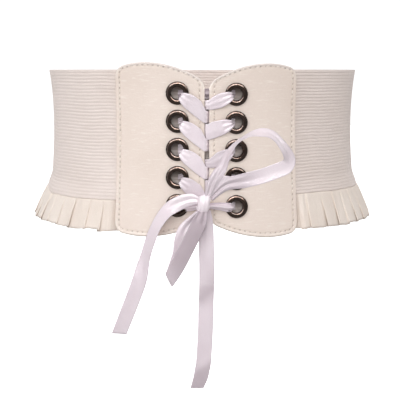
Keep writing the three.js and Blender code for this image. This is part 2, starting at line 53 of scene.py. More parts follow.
PANEL = {
    "width": 72.5, "wall": 2.0, "gap": 3.8, "crown_at": 48, "corner": 6,
    "top": (55.3, 15, 4.8), "bottom": (83.7, 12.6, 4), "rise": {"left": 0.5, "right": -0.5},
}
BAND = {"wall": 1.8, "out": -2.4, "top_z": 50, "end_at": 56, "columns": 130}
INSERT = {
    "wall": 1.5, "shallow": -2.4, "deep": -5.6, "deep_to": 33, "ramp_to": 38, "reach": 47,
    "above_bottom": 6, "below_top": 9.3, "columns": 56, "rows": 270,
}
RIB = {"pitch": 2.7, "depth": 0.36, "steps": 6, "mean_groove": 0.3}
# The band's lower edge turns out with the ruffle, most at the sides.
TURN_OUT = {"by": 2.6, "height": 14}
# swing is how far the ruffle stands out at its hem, and curve the power of the way down by which
# it gets there: each at the front and back of the waist, then at its sides.
RUFFLE = {
    "wall": 0.7, "out": -5.0, "tuck": 4, "end_at": 70, "held_to": 73.5, "free_from": 80,
    "swing": (6, 10), "curve": (1.2, 0.8),
}
EYELET = {
    "rows": 5, "top_z": 30.8, "pitch": 22.34, "from_centre": 23.5, "bore": 4.95, "flange": 9.25,
    "height": 2.05, "crest": 6.9, "slope": 24, "cones": (0.4, 0.55), "washer": 8.2, "back": -3.15,
    "bead": 0.3,
}
RIBBON = {"width": 11.9, "wall": 0.4}
SIDES = {"left": -1, "right": 1}
ROWS = range(1, EYELET["rows"] + 1)

# Height of the band's seam and of the ruffle's hem by the angle round the waist, in degrees.
LOWER_EDGES = np.array([
    # angle, seam, hem
    (-180, -47, -72), (-95, -47, -71), (-72, -53.5, -75), (-50, -55, -78.5), (-30, -55, -80),
    (30, -50.5, -78.5), (50, -49.5, -77.5), (72, -48.5, -75.5), (95, -46.5, -71), (180, -47, -72),
])
SEAM, HEM = 1, 2


# Numbers and curves

def lerp(a, b, t):
    """From a to b as t goes from 0 to 1."""
    return a + (b - a) * t


def smooth(low, high, value):
    """0 below low and 1 above high, with an S-shaped step between."""
    t = np.clip((value - low) / (high - low), 0, 1)
    return t * t * (3 - 2 * t)


def ripple(x, size, wavelength, waves=5):
    """A sum of sines along x, about -size to size, with wavelengths near the one given."""
    total = 0
    for _ in range(waves):
        total = total + np.sin(2 * np.pi * (x / (wavelength * rng.uniform(0.6, 1.7)) + rng.random()))
    return size * (total / waves ** 0.5)


def spline(rows, steps):
    """Catmull-Rom curve through the rows of a table, with that many steps from row to row."""
    rows = np.asarray(rows, float)
    last = len(rows) - 1
    t = np.linspace(0, last, last * steps + 1)
    i = np.minimum(t.astype(int), last - 1)
    f = (t - i)[:, None]
    p0, p1, p2, p3 = (rows[np.clip(i + k, 0, last)] for k in (-1, 0, 1, 2))
    slope1, slope2, rise = (p2 - p0) / 2, (p3 - p1) / 2, p2 - p1
    return p1 + f * (slope1 + f * (3 * rise - 2 * slope1 - slope2 + f * (slope1 + slope2 - 2 * rise)))


def run_length(line):
    """Length so far along a line of points."""
    return np.concatenate([[0], np.cumsum(np.linalg.norm(np.diff(line, axis=0), axis=1))])


def unit(vectors):
    return vectors / np.maximum(np.linalg.norm(vectors, axis=-1, keepdims=True), 1e-9)


# The waist's surface

ANGLES = np.linspace(0, np.pi, 1441)
MIDDLES = (ANGLES[1:] + ANGLES[:-1]) / 2
SPEEDS = np.hypot(WAIST["half_width"] * np.cos(MIDDLES), WAIST["half_depth"] * np.sin(MIDDLES))
ARC = np.concatenate([[0], np.cumsum(SPEEDS * np.diff(ANGLES))])
HALF_ROUND = ARC[-1]


def angle_at(s):
    """Angle of the ellipse, in radians from the front, at s."""
    return np.sign(s) * np.interp(np.abs(s), ARC, ANGLES)


def on_waist(s, z, out):
    """Point of the ellipse (W sin a, -D cos a) at height z, moved along its outward normal by out
    and by a swell that grows as the square of the distance from the narrowest level."""
    s, z, out = np.broadcast_arrays(s, z, out)
    a = angle_at(s)
    t = (z - WAIST["narrow_z"]) / FLARE["reach"]
    share = lerp(FLARE["front_share"], 1, np.sin(a) ** 2)
    swell = np.where(t > 0, FLARE["above"], FLARE["below"]) * t * t * share
    nx, ny = np.sin(a) / WAIST["half_width"], -np.cos(a) / WAIST["half_depth"]
    off = (out + swell) / np.hypot(nx, ny)
    x = WAIST["half_width"] * np.sin(a) + nx * off
    y = -WAIST["half_depth"] * np.cos(a) + ny * off
    return np.stack([x, y, z], axis=-1)


def lower_edge(s, column):
    """Height of the seam or the hem at s: a cosine step from row to row of the table."""
    at = np.interp(np.degrees(angle_at(s)), LOWER_EDGES[:, 0], np.arange(len(LOWER_EDGES)))
    low = np.minimum(at.astype(int), len(LOWER_EDGES) - 2)
    t = (1 - np.cos(np.pi * (at - low))) / 2
    return lerp(LOWER_EDGES[low, column], LOWER_EDGES[low + 1, column], t)


def turn_out(s, height):
    """How far the cloth turns out, height above the seam: most at the seam and at the sides, and
    not at all behind the panels."""
    past_panel = smooth(RUFFLE["held_to"], RUFFLE["free_from"], np.abs(s))
    turn = TURN_OUT["by"] * np.sin(angle_at(s)) ** 2 * past_panel
    return turn * smooth(TURN_OUT["height"], 0, height)


def round_the_back(d):
    """s for a distance d round the back from the front."""
    return np.where(d <= HALF_ROUND, d, d - 2 * HALF_ROUND)


# Meshes

def add_object(name, data, place=(0, 0, 0), way=None):
    """A new object in the scene. A camera or lamp also has the way that it looks."""
    item = bpy.data.objects.new(name, data)
    item.location = place
    if way is not None:
        item.rotation_mode = "QUATERNION"
        item.rotation_quaternion = way.to_track_quat("-Z", "Y")
    bpy.context.scene.collection.objects.link(item)
    return item


def outward(points, faces):
    """The faces, turned round where they enclose a negative volume."""
    volume = 0
    for corners in faces:
        for k in range(1, corners.shape[1] - 1):
            a, b, c = points[corners[:, 0]], points[corners[:, k]], points[corners[:, k + 1]]
            volume += np.einsum("ij,ij->", a, np.cross(b, c))
    return [corners[:, ::-1] for corners in faces] if volume < 0 else faces


def make_piece(name, points, faces, material, slot, coords=None, masks=None):
    """A smooth mesh that rides on the belt, from points in millimetres and arrays of faces.
    coords has each point's place along and across the cloth, and masks a number for each point."""
    faces = outward(points, faces)
    corners = np.concatenate([f.ravel() for f in faces]).astype(np.int32)
    sizes = np.concatenate([np.full(len(f), f.shape[1]) for f in faces])
    mesh = bpy.data.meshes.new(name)
    mesh.vertices.add(len(points))
    mesh.vertices.foreach_set("co", (points * MM).astype(np.float32).ravel())
    mesh.loops.add(len(corners))
    mesh.loops.foreach_set("vertex_index", corners)
    mesh.polygons.add(len(sizes))
    mesh.polygons.foreach_set("loop_start", (np.cumsum(sizes) - sizes).astype(np.int32))
    mesh.update(calc_edges=True)
    mesh.polygons.foreach_set("use_smooth", np.ones(len(sizes), bool))
    if coords is not None:
        layer = mesh.uv_layers.new(name="along_across")
        layer.uv.foreach_set("vector", (coords[corners] * MM).astype(np.float32).ravel())
    for key, values in (masks or {}).items():
        attribute = mesh.attributes.new(key, "FLOAT", "POINT")
        attribute.data.foreach_set("value", values.astype(np.float32).ravel())
    mesh.materials.append(material)
    piece = add_object(name, mesh)
    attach(piece, "root")
    return piece


def grid_faces(rows, columns, round_columns=False, round_rows=False):
    """Quads of a grid of points numbered row by row, which may close round either way."""
    number = np.arange(rows * columns).reshape(rows, columns)
    if round_rows:
        number = np.concatenate([number, number[:1]])
    if round_columns:
        number = np.concatenate([number, number[:, :1]], axis=1)
    return np.stack(
        [number[:-1, :-1], number[1:, :-1], number[1:, 1:], number[:-1, 1:]], axis=-1,
    ).reshape(-1, 4)


def closed_wall(quads, count):
    """Faces of a closed wall between two grids of count points whose quads may leave holes: both
    sides, and a rim at each edge that only one quad has. Gives the numbers of the points that
    are used, and the faces by their place in that list."""
    edges = np.stack([quads, np.roll(quads, -1, axis=1)], axis=-1).reshape(-1, 2)
    code, twin = (edges[:, k] * count + edges[:, 1 - k] for k in (0, 1))
    rim = edges[~np.isin(code, twin)]
    rims = np.stack([rim[:, 1], rim[:, 0], rim[:, 0] + count, rim[:, 1] + count], axis=-1)
    used, faces = np.unique(
        np.concatenate([quads, quads[:, ::-1] + count, rims]), return_inverse=True,
    )
    return used, faces.reshape(-1, 4)


def wall_between(face, back):
    """Closed wall between two grids of points of one size."""
    points = np.concatenate([face.reshape(-1, 3), back.reshape(-1, 3)])
    return points, [closed_wall(grid_faces(*face.shape[:2]), len(points) // 2)[1]]


def both_sides(values):
    """A value for each point of the face, given again for each point of the back."""
    flat = values.reshape(-1, values.shape[-1]) if values.ndim == 3 else values.ravel()
    return np.concatenate([flat, flat])


def make_cloth(name, wall, material, slot, along, across, **masks):
    """A piece from a wall's points and faces, with each point's place along and across the cloth.
    The masks have a number for each point of the face, and the back gets the same."""
    coords = both_sides(np.stack(np.broadcast_arrays(along, across), axis=-1))
    masks = {key: both_sides(values) for key, values in masks.items()}
    return make_piece(name, *wall, material, slot, coords, masks)


def normals_of(middle):
    """Unit normals of a grid of points: the cross product of its two directions."""
    return unit(np.cross(np.gradient(middle, axis=0), np.gradient(middle, axis=1)))


def cloth_wall(middle, wall):
    """Closed wall of an even thickness on both sides of a grid of points."""
    lift = normals_of(middle) * wall / 2
    return wall_between(middle + lift, middle - lift)


def tubes(lines, outs, sides, radius, around):
    """Closed tubes along many lines at once: point = line + radius (cos t out + sin t side), with
    a flat cap at each end. lines has the shape (tubes, steps, 3), and radius a number per step."""
    count, steps = lines.shape[:2]
    t = np.arange(around) * 2 * np.pi / around
    ring = np.cos(t)[:, None] * outs[:, :, None, :] + np.sin(t)[:, None] * sides[:, :, None, :]
    points = (lines[:, :, None, :] + radius[None, :, None, None] * ring).reshape(-1, 3)
    one = grid_faces(steps, around, round_columns=True)
    starts = np.arange(count)[:, None, None] * steps * around
    body = (one[None] + starts).reshape(-1, 4)
    cap = np.arange(around)[None, :] + starts[:, :, 0]
    caps = np.concatenate([cap, cap[:, ::-1] + (steps - 1) * around])
    return points, [body, caps]


# Shader nodes

def add_node(tree, kind, inputs=None, **settings):
    """A shader node of that kind. Each input gets a value, or a link where a socket is given."""
    node = tree.nodes.new("ShaderNode" + kind)
    for key, value in settings.items():
        setattr(node, key, value)
    for key, value in (inputs or {}).items():
        if isinstance(value, bpy.types.NodeSocket):
            tree.links.new(value, node.inputs[key])
        else:
            node.inputs[key].default_value = value
    return node


def maths(tree, operation, *values):
    return add_node(tree, "Math", dict(enumerate(values)), operation=operation).outputs[0]


def blend_colours(tree, share, first, second):
    inputs = {0: share, 6: first, 7: second}
    return add_node(tree, "Mix", inputs, data_type="RGBA").outputs[2]


def noise(tree, place, scale, detail):
    """Grey noise, 0 to 1, at so many waves per metre or per unit of the place."""
    inputs = {"Vector": place, "Scale": scale, "Detail": detail}
    return add_node(tree, "TexNoise", inputs).outputs[0]


def scaled(tree, place, factors):
    """A place stretched along its axes, so that a noise there runs in lines."""
    inputs = {0: place, 1: factors}
    return add_node(tree, "VectorMath", inputs, operation="MULTIPLY").outputs[0]


def new_group(name, inputs, outputs):
    """An empty node group with named sockets, and its two ends. An input that starts as a vector,
    a colour or a number becomes a socket of that kind; outputs have their kind's name."""
    tree = bpy.data.node_groups.new(name, "ShaderNodeTree")
    for label, value in inputs.items():
        kind = {3: "Vector", 4: "Color"}[len(value)] if isinstance(value, tuple) else "Float"
        socket = tree.interface.new_socket(label, in_out="INPUT", socket_type="NodeSocket" + kind)
        socket.default_value = value
    for label, kind in outputs.items():
        tree.interface.new_socket(label, in_out="OUTPUT", socket_type="NodeSocket" + kind)
    return tree, tree.nodes.new("NodeGroupInput"), tree.nodes.new("NodeGroupOutput")


def make_mottle():
    """Two colours mixed by soft clouds and by a fine speckle."""
    tree, ends, out = new_group(
        "mottle",
        {"Place": (0, 0, 0), "Light": (1, 1, 1, 1), "Deep": (0, 0, 0, 1), "Clouds": 40, "Specks": 1500},
        {"Colour": "Color", "Mask": "Float"},
    )
    clouds = noise(tree, ends.outputs["Place"], ends.outputs["Clouds"], 3.0)
    specks = noise(tree, ends.outputs["Place"], ends.outputs["Specks"], 1.0)
    both = maths(tree, "ADD", maths(tree, "MULTIPLY", clouds, 0.72),
                 maths(tree, "MULTIPLY", specks, 0.28))
    mask = add_node(tree, "MapRange", {0: both, 1: 0.36, 2: 0.64}).outputs[0]
    mixed = blend_colours(tree, mask, ends.outputs["Light"], ends.outputs["Deep"])
    tree.links.new(mixed, out.inputs["Colour"])
    tree.links.new(mask, out.inputs["Mask"])
    return tree


def make_weave():
    """Height of a plain weave: warp and weft threads as half waves that pass over each other."""
    tree, ends, out = new_group(
        "weave", {"Place": (0, 0, 0), "Warp Pitch": 0.0005, "Weft Pitch": 0.0005}, {"Height": "Float"},
    )
    split = add_node(tree, "SeparateXYZ", {0: ends.outputs["Place"]})
    waves = []
    for axis, pitch in ((0, "Warp Pitch"), (1, "Weft Pitch")):
        turns = maths(tree, "DIVIDE", split.outputs[axis], ends.outputs[pitch])
        waves.append(maths(tree, "SINE", maths(tree, "MULTIPLY", turns, math.pi)))
    over = maths(tree, "MULTIPLY", waves[0], waves[1])
    ridge = maths(tree, "ABSOLUTE", over)
    crossing = maths(tree, "MULTIPLY", over, 0.35)
    tree.links.new(maths(tree, "ADD", ridge, crossing), out.inputs["Height"])
    return tree


def make_wear():
    """How worn a surface is: a mask of its edges, broken up by noise."""
    tree, ends, out = new_group(
        "wear", {"Place": (0, 0, 0), "Edge": 0.0, "Scale": 500}, {"Worn": "Float"},
    )
    spots = noise(tree, ends.outputs["Place"], ends.outputs["Scale"], 4.0)
    broken = maths(tree, "MULTIPLY_ADD", spots, 1.2, 0.3)
    broken = maths(tree, "MULTIPLY", ends.outputs["Edge"], broken)
    tree.links.new(maths(tree, "MINIMUM", broken, 1.0), out.inputs["Worn"])
    return tree


MOTTLE, WEAVE, WEAR = make_mottle(), make_weave(), make_wear()


def new_material(name, **sockets):
    """A material with one Principled shader. sockets are values that are the same all over."""
    material = bpy.data.materials.new(name)
    material.use_nodes = True
    shader = material.node_tree.nodes["Principled BSDF"]
    for key, value in sockets.items():
        shader.inputs[key.replace("_", " ")].default_value = value
    return material.node_tree, shader, material


def cloth_place(tree):
    return add_node(tree, "UVMap", uv_map="along_across").outputs[0]


def object_place(tree):
    return add_node(tree, "TexCoord").outputs["Object"]


def mask_of(tree, name):
    """The number that make_piece's masks give each point under that name."""
    return add_node(tree, "Attribute", attribute_name=name).outputs["Fac"]


def value_between(tree, mask, low, high):
    """A number that goes from low to high as the mask goes from 0 to 1."""
    return add_node(tree, "MapRange", {0: mask, 3: low, 4: high}).outputs[0]


def bump(tree, height, distance, normal=None):
    inputs = {"Height": height, "Distance": distance}
    if normal is not None:
        inputs["Normal"] = normal
    return add_node(tree, "Bump", inputs).outputs[0]


def dress(tree, shader, base, roughness, normal):
    """Link a material's colour, roughness and normal."""
    for socket, value in (("Base Color", base), ("Roughness", roughness), ("Normal", normal)):
        tree.links.new(value, shader.inputs[socket])


def colour(screen):
    """A colour from its 0 to 255 screen values."""
    return tuple(((v / 255 + 0.055) / 1.055) ** 2.4 for v in screen) + (1,)


def put(tree, group, inputs):
    return add_node(tree, "Group", inputs, node_tree=group).outputs


def mottled(tree, place, light, deep, clouds, specks):
    """The mottle's colour and its mask, from two colours and the scales of clouds and specks."""
    sockets = put(tree, MOTTLE, {
        "Place": place, "Light": colour(light), "Deep": colour(deep), "Clouds": clouds,
        "Specks": specks,
    })
    return sockets["Colour"], sockets["Mask"]


def woven(tree, warp, weft):
    """Height of a weave along the cloth, from the pitches of its warp and weft."""
    inputs = {"Place": cloth_place(tree), "Warp Pitch": warp, "Weft Pitch": weft}
    return put(tree, WEAVE, inputs)["Height"]


def worn_rim(tree, place, scale):
    """Where the piece's rim is rubbed, from 0 to 1."""
    inputs = {"Place": place, "Edge": mask_of(tree, "rim"), "Scale": scale}
    return put(tree, WEAR, inputs)["Worn"]


def tinted(tree, base, mask, share, tint):
    """The base colour, turned towards a tint by that share of a mask."""
    return blend_colours(tree, maths(tree, "MULTIPLY", mask, share), base, colour(tint))


def make_elastic():
    """Ribbed elastic: cream threads wrapped round each rib. Painted shade makes the grooves darker and
    pinker and greys the insert behind the upper part of each eyelet.
    """
    tree, shader, material = new_material(
        "ribbed_elastic", Sheen_Weight=0.25, Sheen_Roughness=0.5, Specular_IOR_Level=0.25,
    )
    base, mask = mottled(tree, object_place(tree), (247, 234, 228), (239, 225, 218), 22.0, 900.0)
    # Painted shade in the grooves.
    base = tinted(tree, base, mask_of(tree, "groove"), 0.42, (186, 168, 160))
    # Painted shade behind the upper part of each eyelet.
    base = tinted(tree, base, mask_of(tree, "hollow"), 1.0, (84, 66, 58))
    dress(tree, shader, base, value_between(tree, mask, 0.72, 0.9),
          bump(tree, woven(tree, 0.00052, 0.0009), 0.00012))
    return material


def make_ruffle_cloth():
    """Thin plain-woven cream cloth, with painted shade in its folds and along its hem."""
    tree, shader, material = new_material(
        "pleated_cloth", Sheen_Weight=0.2, Sheen_Roughness=0.5, Specular_IOR_Level=0.3,
    )
    base, mask = mottled(tree, object_place(tree), (245, 233, 223), (238, 224, 213), 35.0, 1200.0)
    # Painted shade in the folds and along the hem.
    base = tinted(tree, base, mask_of(tree, "groove"), 0.75, (180, 162, 147))
    creases = noise(tree, scaled(tree, cloth_place(tree), (900, 60, 1)), 1.0, 2.0)
    dress(tree, shader, base, value_between(tree, mask, 0.66, 0.82),
          bump(tree, woven(tree, 0.0004, 0.00045), 0.00008, bump(tree, creases, 0.0005)))
    return material


def make_leather():
    """Faux leather: small rounded pebbles with fine creases between, rubbed paler on the rims, with
    painted shade along the top edge, on the rounded foot and in the needle holes."""
    tree, shader, material = new_material("faux_leather", Specular_IOR_Level=0.4)
    place = object_place(tree)
    skin, mask = mottled(tree, place, (237, 222, 212), (230, 214, 203), 18.0, 700.0)
    pebbles = add_node(tree, "TexVoronoi", {"Vector": place, "Scale": 1150.0}, feature="SMOOTH_F1")
    pebble = maths(tree, "SUBTRACT", 1.0, pebbles.outputs["Distance"])
    creases = noise(tree, place, 260.0, 5.0)
    height = maths(tree, "ADD", maths(tree, "MULTIPLY", pebble, 0.6), creases)
    streaks = noise(tree, scaled(tree, place, (130, 130, 900)), 1.0, 1.0)
    streak = add_node(tree, "MapRange", {0: streaks, 1: 0.6, 2: 0.74, 4: 0.45}).outputs[0]
    base = tinted(tree, skin, streak, 1.0, (250, 241, 232))
    base = tinted(tree, base, worn_rim(tree, place, 420.0), 1.0, (248, 238, 228))
    # Painted shade along the top edge, where it turns away from the light.
    base = tinted(tree, base, mask_of(tree, "turned"), 0.8, (218, 206, 200))
    # Painted shade on the rounded foot, which faces down.
    base = tinted(tree, base, mask_of(tree, "foot"), 0.75, (172, 154, 142))
    # Painted shade in the needle holes.
    base = tinted(tree, base, mask_of(tree, "needle"), 1.0, (122, 101, 86))
    dress(tree, shader, base, value_between(tree, mask, 0.46, 0.6), bump(tree, height, 0.00011))
    return material


def make_satin():
    """Satin ribbon: close weft lines across it, a firmer woven edge and a soft lilac sheen, with painted
    shade that greys it and makes it rougher where it is turned from the light."""
    tree, shader, material = new_material(
        "satin", Sheen_Weight=0.35, Sheen_Roughness=0.3, Specular_IOR_Level=0.55, Anisotropic=0.5,
    )
    place = cloth_place(tree)
    base, mask = mottled(tree, object_place(tree), (249, 237, 243), (242, 228, 235), 60.0, 1500.0)
    # Painted shade where the ribbon is turned from the light; the same parts are made rougher below.
    base = tinted(tree, base, mask_of(tree, "dull"), 1.0, (178, 162, 170))
    base = tinted(tree, base, mask_of(tree, "selvedge"), 0.15, (210, 200, 215))
    along = add_node(tree, "SeparateXYZ", {0: place}).outputs[0]
    turns = maths(tree, "DIVIDE", along, 0.00006)
    turns = maths(tree, "MULTIPLY_ADD", noise(tree, place, 160.0, 2.0), 3.0, turns)
    weft = maths(tree, "ABSOLUTE", maths(tree, "SINE", turns))
    matt = maths(tree, "MULTIPLY_ADD", mask, 0.1, 0.32)
    matt = maths(tree, "MULTIPLY_ADD", mask_of(tree, "dull"), 0.25, matt)
    dress(tree, shader, base, matt, bump(tree, weft, 0.000035))
    return material


def make_thread():
    """Sewing thread: two plies twisted, as slanting ridges along it."""
    tree, shader, material = new_material("sewing_thread", Sheen_Weight=0.3, Specular_IOR_Level=0.3)
    place = object_place(tree)
    base, mask = mottled(tree, place, (250, 242, 234), (232, 218, 205), 300.0, 3000.0)
    plies = add_node(tree, "TexWave", {"Vector": place, "Scale": 900.0, "Distortion": 1.0},
                     bands_direction="DIAGONAL")
    dress(tree, shader, base, value_between(tree, mask, 0.6, 0.8),
          bump(tree, plies.outputs["Fac"], 0.00008))
    return material


def make_metal():
    """Antique gunmetal: nearly black brown, with paler rubbed crests and fine turning marks."""
    tree, shader, material = new_material(
        "antique_gunmetal", Specular_IOR_Level=0.5, Coat_Weight=0.5, Coat_Roughness=0.06,
    )
    place = object_place(tree)
    tarnish, mask = mottled(tree, place, (59, 42, 33), (41, 27, 20), 260.0, 2400.0)
    base = tinted(tree, tarnish, worn_rim(tree, place, 900.0), 0.15, (84, 70, 60))
    tree.links.new(value_between(tree, mask, 1.0, 0.9), shader.inputs["Metallic"])
    dress(tree, shader, base, value_between(tree, mask, 0.1, 0.2),
          bump(tree, noise(tree, place, 2200.0, 2.0), 0.000008))
    return material


ELASTIC, RUFFLE_CLOTH, LEATHER = make_elastic(), make_ruffle_cloth(), make_leather()
SATIN, THREAD, METAL = make_satin(), make_thread(), make_metal()


# Camera, light and floor

VIEW = {
    "azimuth": -2, "elevation": 5.2, "distance": 1.2, "aim": (-0.00235, -0.00555, -0.06181),
    "focal_px": 1392, "frame_px": 400, "sensor": 36,
}


def way_to(azimuth, elevation):
    """Unit vector from the belt towards an azimuth and elevation in degrees; 0, 0 is the front."""
    turn, rise = math.radians(azimuth), math.radians(elevation)
    return Vector((
        math.sin(turn) * math.cos(rise), -math.cos(turn) * math.cos(rise), math.sin(rise),
    ))


def make_camera():
    """The camera on a sphere round the point that it looks at."""
    back = way_to(VIEW["azimuth"], VIEW["elevation"])
    data = bpy.data.cameras.new("camera")
    data.sensor_width = VIEW["sensor"]
    data.lens = VIEW["focal_px"] / VIEW["frame_px"] * VIEW["sensor"]
    place = Vector(VIEW["aim"]) + back * VIEW["distance"]
    bpy.context.scene.camera = add_object("camera", data, place, -back)


# name, azimuth and elevation in degrees, distance, width and height, watts, colour
SOFTBOXES = [
    ("softbox_left", -52, 4, 1.7, 0.6, 1.0, 3.2, (0.985, 0.992, 1)),
    ("softbox_upper_left", -38, 30, 1.7, 1.0, 0.8, 3.6, (0.99, 0.995, 1)),
    ("softbox_top", 0, 46, 1.7, 1.2, 0.7, 2.4, (1, 1, 1)),
    ("softbox_upper_right", 42, 28, 1.7, 1.0, 0.8, 1.4, (1, 0.93, 0.89)),
    ("softbox_back", 172, 40, 2.0, 1.2, 1.2, 8, (1, 1, 1)),
]
# Cards that only glossy surfaces see, on an arch over the camera: they draw the bright line along
# the upper part of each eyelet.
CARDS = [(-42, 31), (-27, 38), (-9, 43), (9, 43), (27, 38), (42, 31)]
CARD = {"distance": 1.6, "size": 0.5, "depth": 0.36, "watts": 10}
LIT_POINT = Vector((0, -0.02, -0.06))
# A wide softbox by the camera that fills the shadows; the polished metal doesn't mirror it.
FILL = ("softbox_front", -6, 8, 2.4, 1.7, 1.7, 9.5)
SKY = {"level": 0.38, "above": 1.0, "seen": 1.1}
FLOOR = {"z": -0.33, "radius": 9, "hub": 0.02, "rings": 6, "around": 48}


def hang_lamp(name, azimuth, elevation, distance, width, height, watts):
    """An area lamp on a sphere round the belt, turned towards it."""
    data = bpy.data.lights.new(name, "AREA")
    data.shape, data.size, data.size_y, data.energy = "RECTANGLE", width, height, watts
    place = LIT_POINT + distance * way_to(azimuth, elevation)
    return add_object(name, data, place, LIT_POINT - place)


def make_lights():
    for name, *how, tint in SOFTBOXES:
        hang_lamp(name, *how).data.color = tint
    hang_lamp(*FILL).visible_glossy = False
    for number, (azimuth, elevation) in enumerate(CARDS):
        card = hang_lamp(f"card_{number}", azimuth, elevation, CARD["distance"], CARD["size"],
                         CARD["depth"], CARD["watts"])
        card.visible_diffuse = False
    make_sky()


def make_sky():
    """A sky that brightens from the horizon up, and is white where the camera sees it."""
    world = bpy.data.worlds.new("studio")
    world.use_nodes = True
    tree = world.node_tree
    seen = add_node(tree, "LightPath").outputs["Is Camera Ray"]
    way = add_node(tree, "TexCoord").outputs["Generated"]
    rise = add_node(tree, "SeparateXYZ", {0: way}).outputs[2]
    sky = add_node(tree, "MapRange", {0: rise, 3: SKY["level"], 4: SKY["above"]}).outputs[0]
    strength = add_node(tree, "MapRange", {0: seen, 3: sky, 4: SKY["seen"]}).outputs[0]
    tree.links.new(strength, tree.nodes["Background"].inputs["Strength"])
    tree.nodes["Background"].inputs["Color"].default_value = (1, 1, 1, 1)
    bpy.context.scene.world = world
    bpy.context.scene.view_settings.view_transform = "Standard"


def make_floor():
    """A round pale floor: rings of points r (cos t, sin t) from a small hub to its edge."""
    rings, around = FLOOR["rings"], FLOOR["around"]
    radius = FLOOR["radius"] * np.linspace(FLOOR["hub"], 1, rings)
    t = np.arange(around) * 2 * np.pi / around
    points = np.stack([
        np.outer(radius, np.cos(t)), np.outer(radius, np.sin(t)), np.full((rings, around), FLOOR["z"]),
    ], axis=-1).reshape(-1, 3)
    faces = grid_faces(rings, around, round_columns=True)[:, ::-1].tolist()
    mesh = bpy.data.meshes.new("floor")
    mesh.from_pydata(points.tolist(), [], faces + [list(range(around))])
    tree, shader, material = new_material("floor_paint", Roughness=0.9)
    shader.inputs["Base Color"].default_value = (0.5, 0.5, 0.5, 1)
    shader.inputs["Emission Color"].default_value = (1, 1, 1, 1)
    seen = add_node(tree, "LightPath").outputs["Is Camera Ray"]
    tree.links.new(seen, shader.inputs["Emission Strength"])
    mesh.materials.append(material)
    add_object("floor", mesh)


make_camera()
make_lights()
make_floor()


# Elastic band and lacing insert


def rib_height(turns):
    """Round ribs side by side: a power of |sin|, 0 in a groove and 1 on a rib."""
    return np.abs(np.sin(np.pi * turns)) ** 0.7


def ribbed_wall(s, z, out, wall, turns, fullness=1.0):
    """Ribs on both faces: each face stands proud of its groove by the rib's height."""
    rib = rib_height(turns)
    dip = RIB["depth"] * fullness * (1 - rib)
    return wall_between(on_waist(s, z, out - dip), on_waist(s, z, out - wall + dip)), 1 - rib


# The band's slow waves up and down, and in and out: each one's slant, size and length.
SAG = [(25, 0.22, 42), (-60, 0.12, 13)]
SWELL = (40, 0.25, 55)
# Where the band is drawn tight, as distances past the middle of the front and of the back between
# which it gets so, and the share of the ribs' height and of the grooves' painted shade left there.
TIGHT = {"past_front": (90, 160), "past_back": (50, 120), "rib": 0.5, "groove": 0.3}
# How strongly the painted shade in the grooves shows low down, on the right and on the left, and
# between which shares of the way round from the right that changes.
GROOVE_SHADE_SHOWN = {"low": 0.55, "right": 1.5, "left": 0.45, "turn": (0.4, 0.7)}


def make_band():
    """From behind one panel's outer edge round the back to behind the other. Its ribs run level
    and keep their number, so they close up where the band is narrower. They are flattest at the
    sides, where it is drawn round the sharpest bend. Painted shade darkens their grooves; it is evened
    out at the sides, low down and on the left, and strongest on the right."""
    count = round((BAND["top_z"] - lower_edge(-80.0, SEAM)) / RIB["pitch"])
    d = np.linspace(BAND["end_at"], 2 * HALF_ROUND - BAND["end_at"], BAND["columns"] + 1)[:, None]
    s = round_the_back(d)
    v = np.linspace(0, 1, count * RIB["steps"] + 1)[None, :]
    seam = lower_edge(s, SEAM)
    loose = np.sin(np.pi * v) ** 0.5
    sag = sum(ripple(d + slant * v, size, length) for slant, size, length in SAG)
    z = lerp(seam, BAND["top_z"], v) + sag * loose
    slant, size, length = SWELL
    swell = (ripple(d + slant * v, size, length) - size) * loose
    out = BAND["out"] + swell + turn_out(s, z - seam)
    from_back = HALF_ROUND - np.abs(s)
    tight = smooth(*TIGHT["past_front"], np.abs(s)) * smooth(*TIGHT["past_back"], from_back)
    wall, groove = ribbed_wall(
        s, z, out, BAND["wall"], v * count + 0 * d, lerp(1, TIGHT["rib"], tight),
    )
    to_left = smooth(*GROOVE_SHADE_SHOWN["turn"], d / d[-1])
    shown = lerp(1, TIGHT["groove"], tight) * lerp(GROOVE_SHADE_SHOWN["low"], 1, v)
    shown = shown * lerp(GROOVE_SHADE_SHOWN["right"], GROOVE_SHADE_SHOWN["left"], to_left)
    # The grooves' painted shade, evened towards its mean where it shows less.
    groove = lerp(RIB["mean_groove"], groove, shown)
    band = make_cloth("ribbed_band", wall, ELASTIC, "elastic", d, z, groove=groove)
    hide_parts("elastic_band")


def panel_end(u, table):
    """Height of a panel's end, u out from its inner edge: two parabolas that meet at the crown."""
    crown, inner_drop, outer_drop = table
    outside = (u - PANEL["crown_at"]) / (PANEL["width"] - PANEL["crown_at"])
    inside = 1 - u / PANEL["crown_at"]
    return crown - np.where(outside > 0, outer_drop * outside ** 2, inner_drop * inside ** 2)


def corner_drop(u, radius):
    """Height lost to a corner rounded as a quarter circle, u away from the side."""
    rest = radius - np.clip(u, 0, radius)
    return radius - np.sqrt(radius ** 2 - rest ** 2)


# The painted shade behind an eyelet: its least and greatest share, the heights over the eyelet's
# centre between which it grows, the radii between which it ends, and the share left behind the bow.
EYELET_SHADE = {"shade": (0.1, 0.85), "rise": (-2.5, 4.5), "round": (8, 6), "behind_bow": 0.25}


